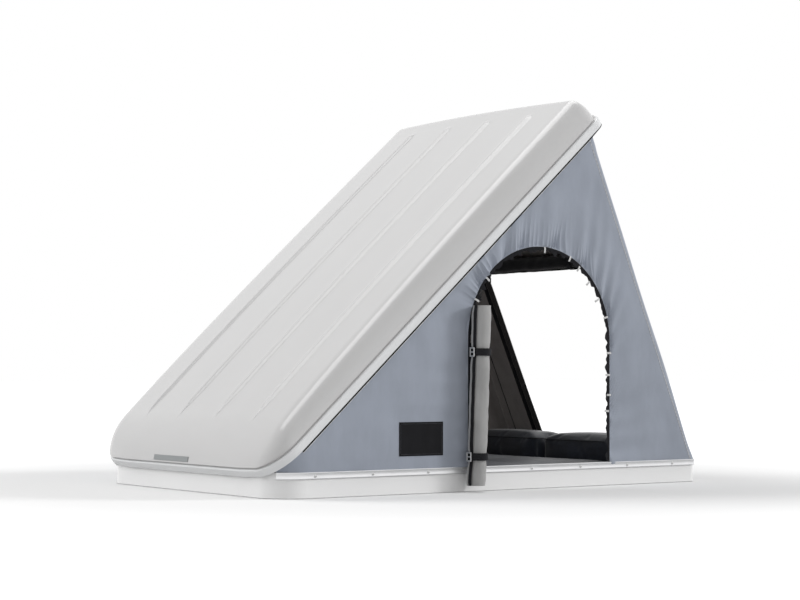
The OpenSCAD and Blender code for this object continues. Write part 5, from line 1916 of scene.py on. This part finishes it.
@dataclass
class Mattress:
    """Foam cushions side by side, swollen by cloth pressure inside their covers."""

    name: str
    x0: float
    x1: float
    half: float
    thick: float
    centres: tuple[float, ...] = (0.0,)
    corner: float = 45.0
    high_seam: float = 0.78
    low_seam: float = 0.22
    shy: float = 5.0
    waist: float = 9.0
    shoulder: Triple = (40.0, 2.0, 2.0)
    piping_r: float = 2.0
    voxel: float = 0.012
    pressure: float = 4.0
    frames: int = 20
    farthest: float = 0.009

    def blank(self) -> bpy.types.Object:
        """Crowned blocks with rounded corners and drawn-in sides, a little smaller than the cushions.

        Returns:
            All the blocks, as one piece without a finish.
        """
        length = self.x1 - self.x0
        u, v = steps((0, 1, 60), (-1, 1, 60))
        x, y = self.x0 + self.shy + (length - 2 * self.shy) * u, (self.half - self.shy) * v
        p = np.clip((np.abs(2 * u - 1) * length / 2 - length / 2 + self.corner) / self.corner, 0, 1)
        q = np.clip((np.abs(v) * self.half - self.half + self.corner) / self.corner, 0, 1)
        inward = self.corner * (1 - np.sqrt(1 - np.minimum(p * q, 0.96) * 0.5))
        x = x - np.sign(2 * u - 1) * inward
        y = (y - np.sign(v) * inward) * (1 - self.waist / self.half * (1 - (2 * u - 1) ** 2))
        bow = (1 - (2 * u - 1) ** 2) * (1 - v * v)
        edge = swell(np.minimum(u, 1 - u) * length, *self.shoulder)
        edge = edge * swell(self.half * (1 - np.abs(v)), *self.shoulder)
        seam, foot = self.high_seam * self.thick, self.low_seam * self.thick
        top = BED_Z + 0.3 + seam + (self.thick - 0.07 * self.thick * (2 - bow) - seam) * edge
        low = BED_Z + 0.3 + foot * (1 - edge)
        work = Piecework(self.name)
        for centre in self.centres:
            work.slab(*(np.stack([x, y + centre, z], axis=-1) for z in (top, low)))
        return work.build()

    def swollen(self, piece: bpy.types.Object) -> None:
        """Remesh, let pressure fill the cover, keep each point near its start, and smooth once.

        Args:
            piece: The blank, which is changed.
        """
        scene, layer = bpy.context.scene, bpy.context.view_layer
        layer.objects.active = piece
        remesh = piece.modifiers.new("remesh", "REMESH")
        remesh.mode, remesh.voxel_size = "VOXEL", self.voxel
        bpy.ops.object.modifier_apply(modifier=remesh.name)
        rest = np.empty(len(piece.data.vertices) * 3, np.float32)
        piece.data.vertices.foreach_get("co", rest)
        cover = piece.modifiers.new("cover", "CLOTH")
        cover.settings.use_pressure = True
        cover.settings.uniform_pressure_force = self.pressure
        cover.settings.effector_weights.gravity = 0.0
        cover.settings.quality = 4
        for frame in range(1, self.frames + 1):
            scene.frame_set(frame)
        bpy.ops.object.modifier_apply(modifier=cover.name)
        scene.frame_set(1)
        now = np.empty_like(rest)
        piece.data.vertices.foreach_get("co", now)
        move = (now - rest).reshape(-1, 3)
        far = np.linalg.norm(move, axis=1, keepdims=True)
        spot = rest.reshape(-1, 3) + move * np.minimum(1, self.farthest / np.maximum(far, 1e-9))
        spot[:, 2] = np.clip(spot[:, 2], (BED_Z + 0.4) * MM, None)
        piece.data.vertices.foreach_set("co", spot.ravel())
        smooth = piece.modifiers.new("smooth", "SUBSURF")
        smooth.levels = smooth.render_levels = 1
        bpy.ops.object.modifier_apply(modifier=smooth.name)
        piece.data.shade_smooth()

    def seams(self, palette: Palette) -> None:
        """Piped seams round each cushion at two heights.

        Args:
            palette: The tent's finishes.
        """
        line = Outline(self.x0 + 3, self.x1 - 3, self.half - 6, self.corner, self.corner, 14)
        angle = round_angles(8)
        work = Piecework(f"{self.name}_piping")
        for share in (self.low_seam, self.high_seam):
            height = BED_Z + share * self.thick
            section = self.piping_r * np.column_stack([np.cos(angle), np.sin(angle)]) + [0, height]
            for centre in self.centres:
                work.tube(carry(line.loop(), section) + [0, centre, 0], closed=True)
        settle(work.build(palette.rubber), "base", "mattress")

    def build(self, palette: Palette, cover: bpy.types.Material) -> None:
        """Make the cushions, in the given cover, and their piping.

        Args:
            palette: The tent's finishes.
            cover: Finish of the cushions.
        """
        piece = self.blank()
        piece.data.materials.append(cover)
        self.swollen(piece)
        settle(piece, "base", "mattress", self.name.replace("cushion", "mattress", 1))
        self.seams(palette)


def dress_hardware(frame: dict[str, Any], palette: Palette) -> None:
    """Give each CAD node that stays its finish, by the slot that the record names for it.

    Args:
        palette: The tent's finishes.
    """
    finish = {
        "panel": palette.board, "rail": palette.rail, "steel": palette.steel,
        "black_steel": palette.black, "rod": palette.chrome, "strip": palette.strip,
        "batten_wood": palette.wood, "black_plastic": palette.plastic,
    }
    slots = {part["node"]: part["material_slot"] for part in frame["record"]["subparts"]}
    for name, node in frame["nodes"].items():
        if node.hide_render:
            continue
        chosen = palette.plate if name == "nose_plate" else finish[slots[name]]
        node.data.materials.clear()
        node.data.materials.append(chosen)
        LOG.info("%s: finish %s", name, chosen.name)


def main() -> None:
    """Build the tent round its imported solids."""
    logging.basicConfig(level=logging.INFO, format="%(name)s %(message)s")
    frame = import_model()
    palette = Palette()
    Studio().set_up()
    LidShell().build(palette)
    Tray().build(palette)
    left, right = SideWall(Side.LEFT), SideWall(Side.RIGHT)
    left.build(palette)
    right.build(palette)
    RolledDoor(left).build(palette)
    ShutDoor(right).build(palette)
    RearWall().build(palette)
    Mattress("cushion_front", -845.0, 710.0, 548.0, 50.0).build(palette, palette.pad)
    Mattress("cushion_rear", 722.0, 940.0, 271.0, 158.0, (-277.0, 277.0)).build(palette, palette.cover)
    dress_hardware(frame, palette)


if __name__ == "__main__":
    main()
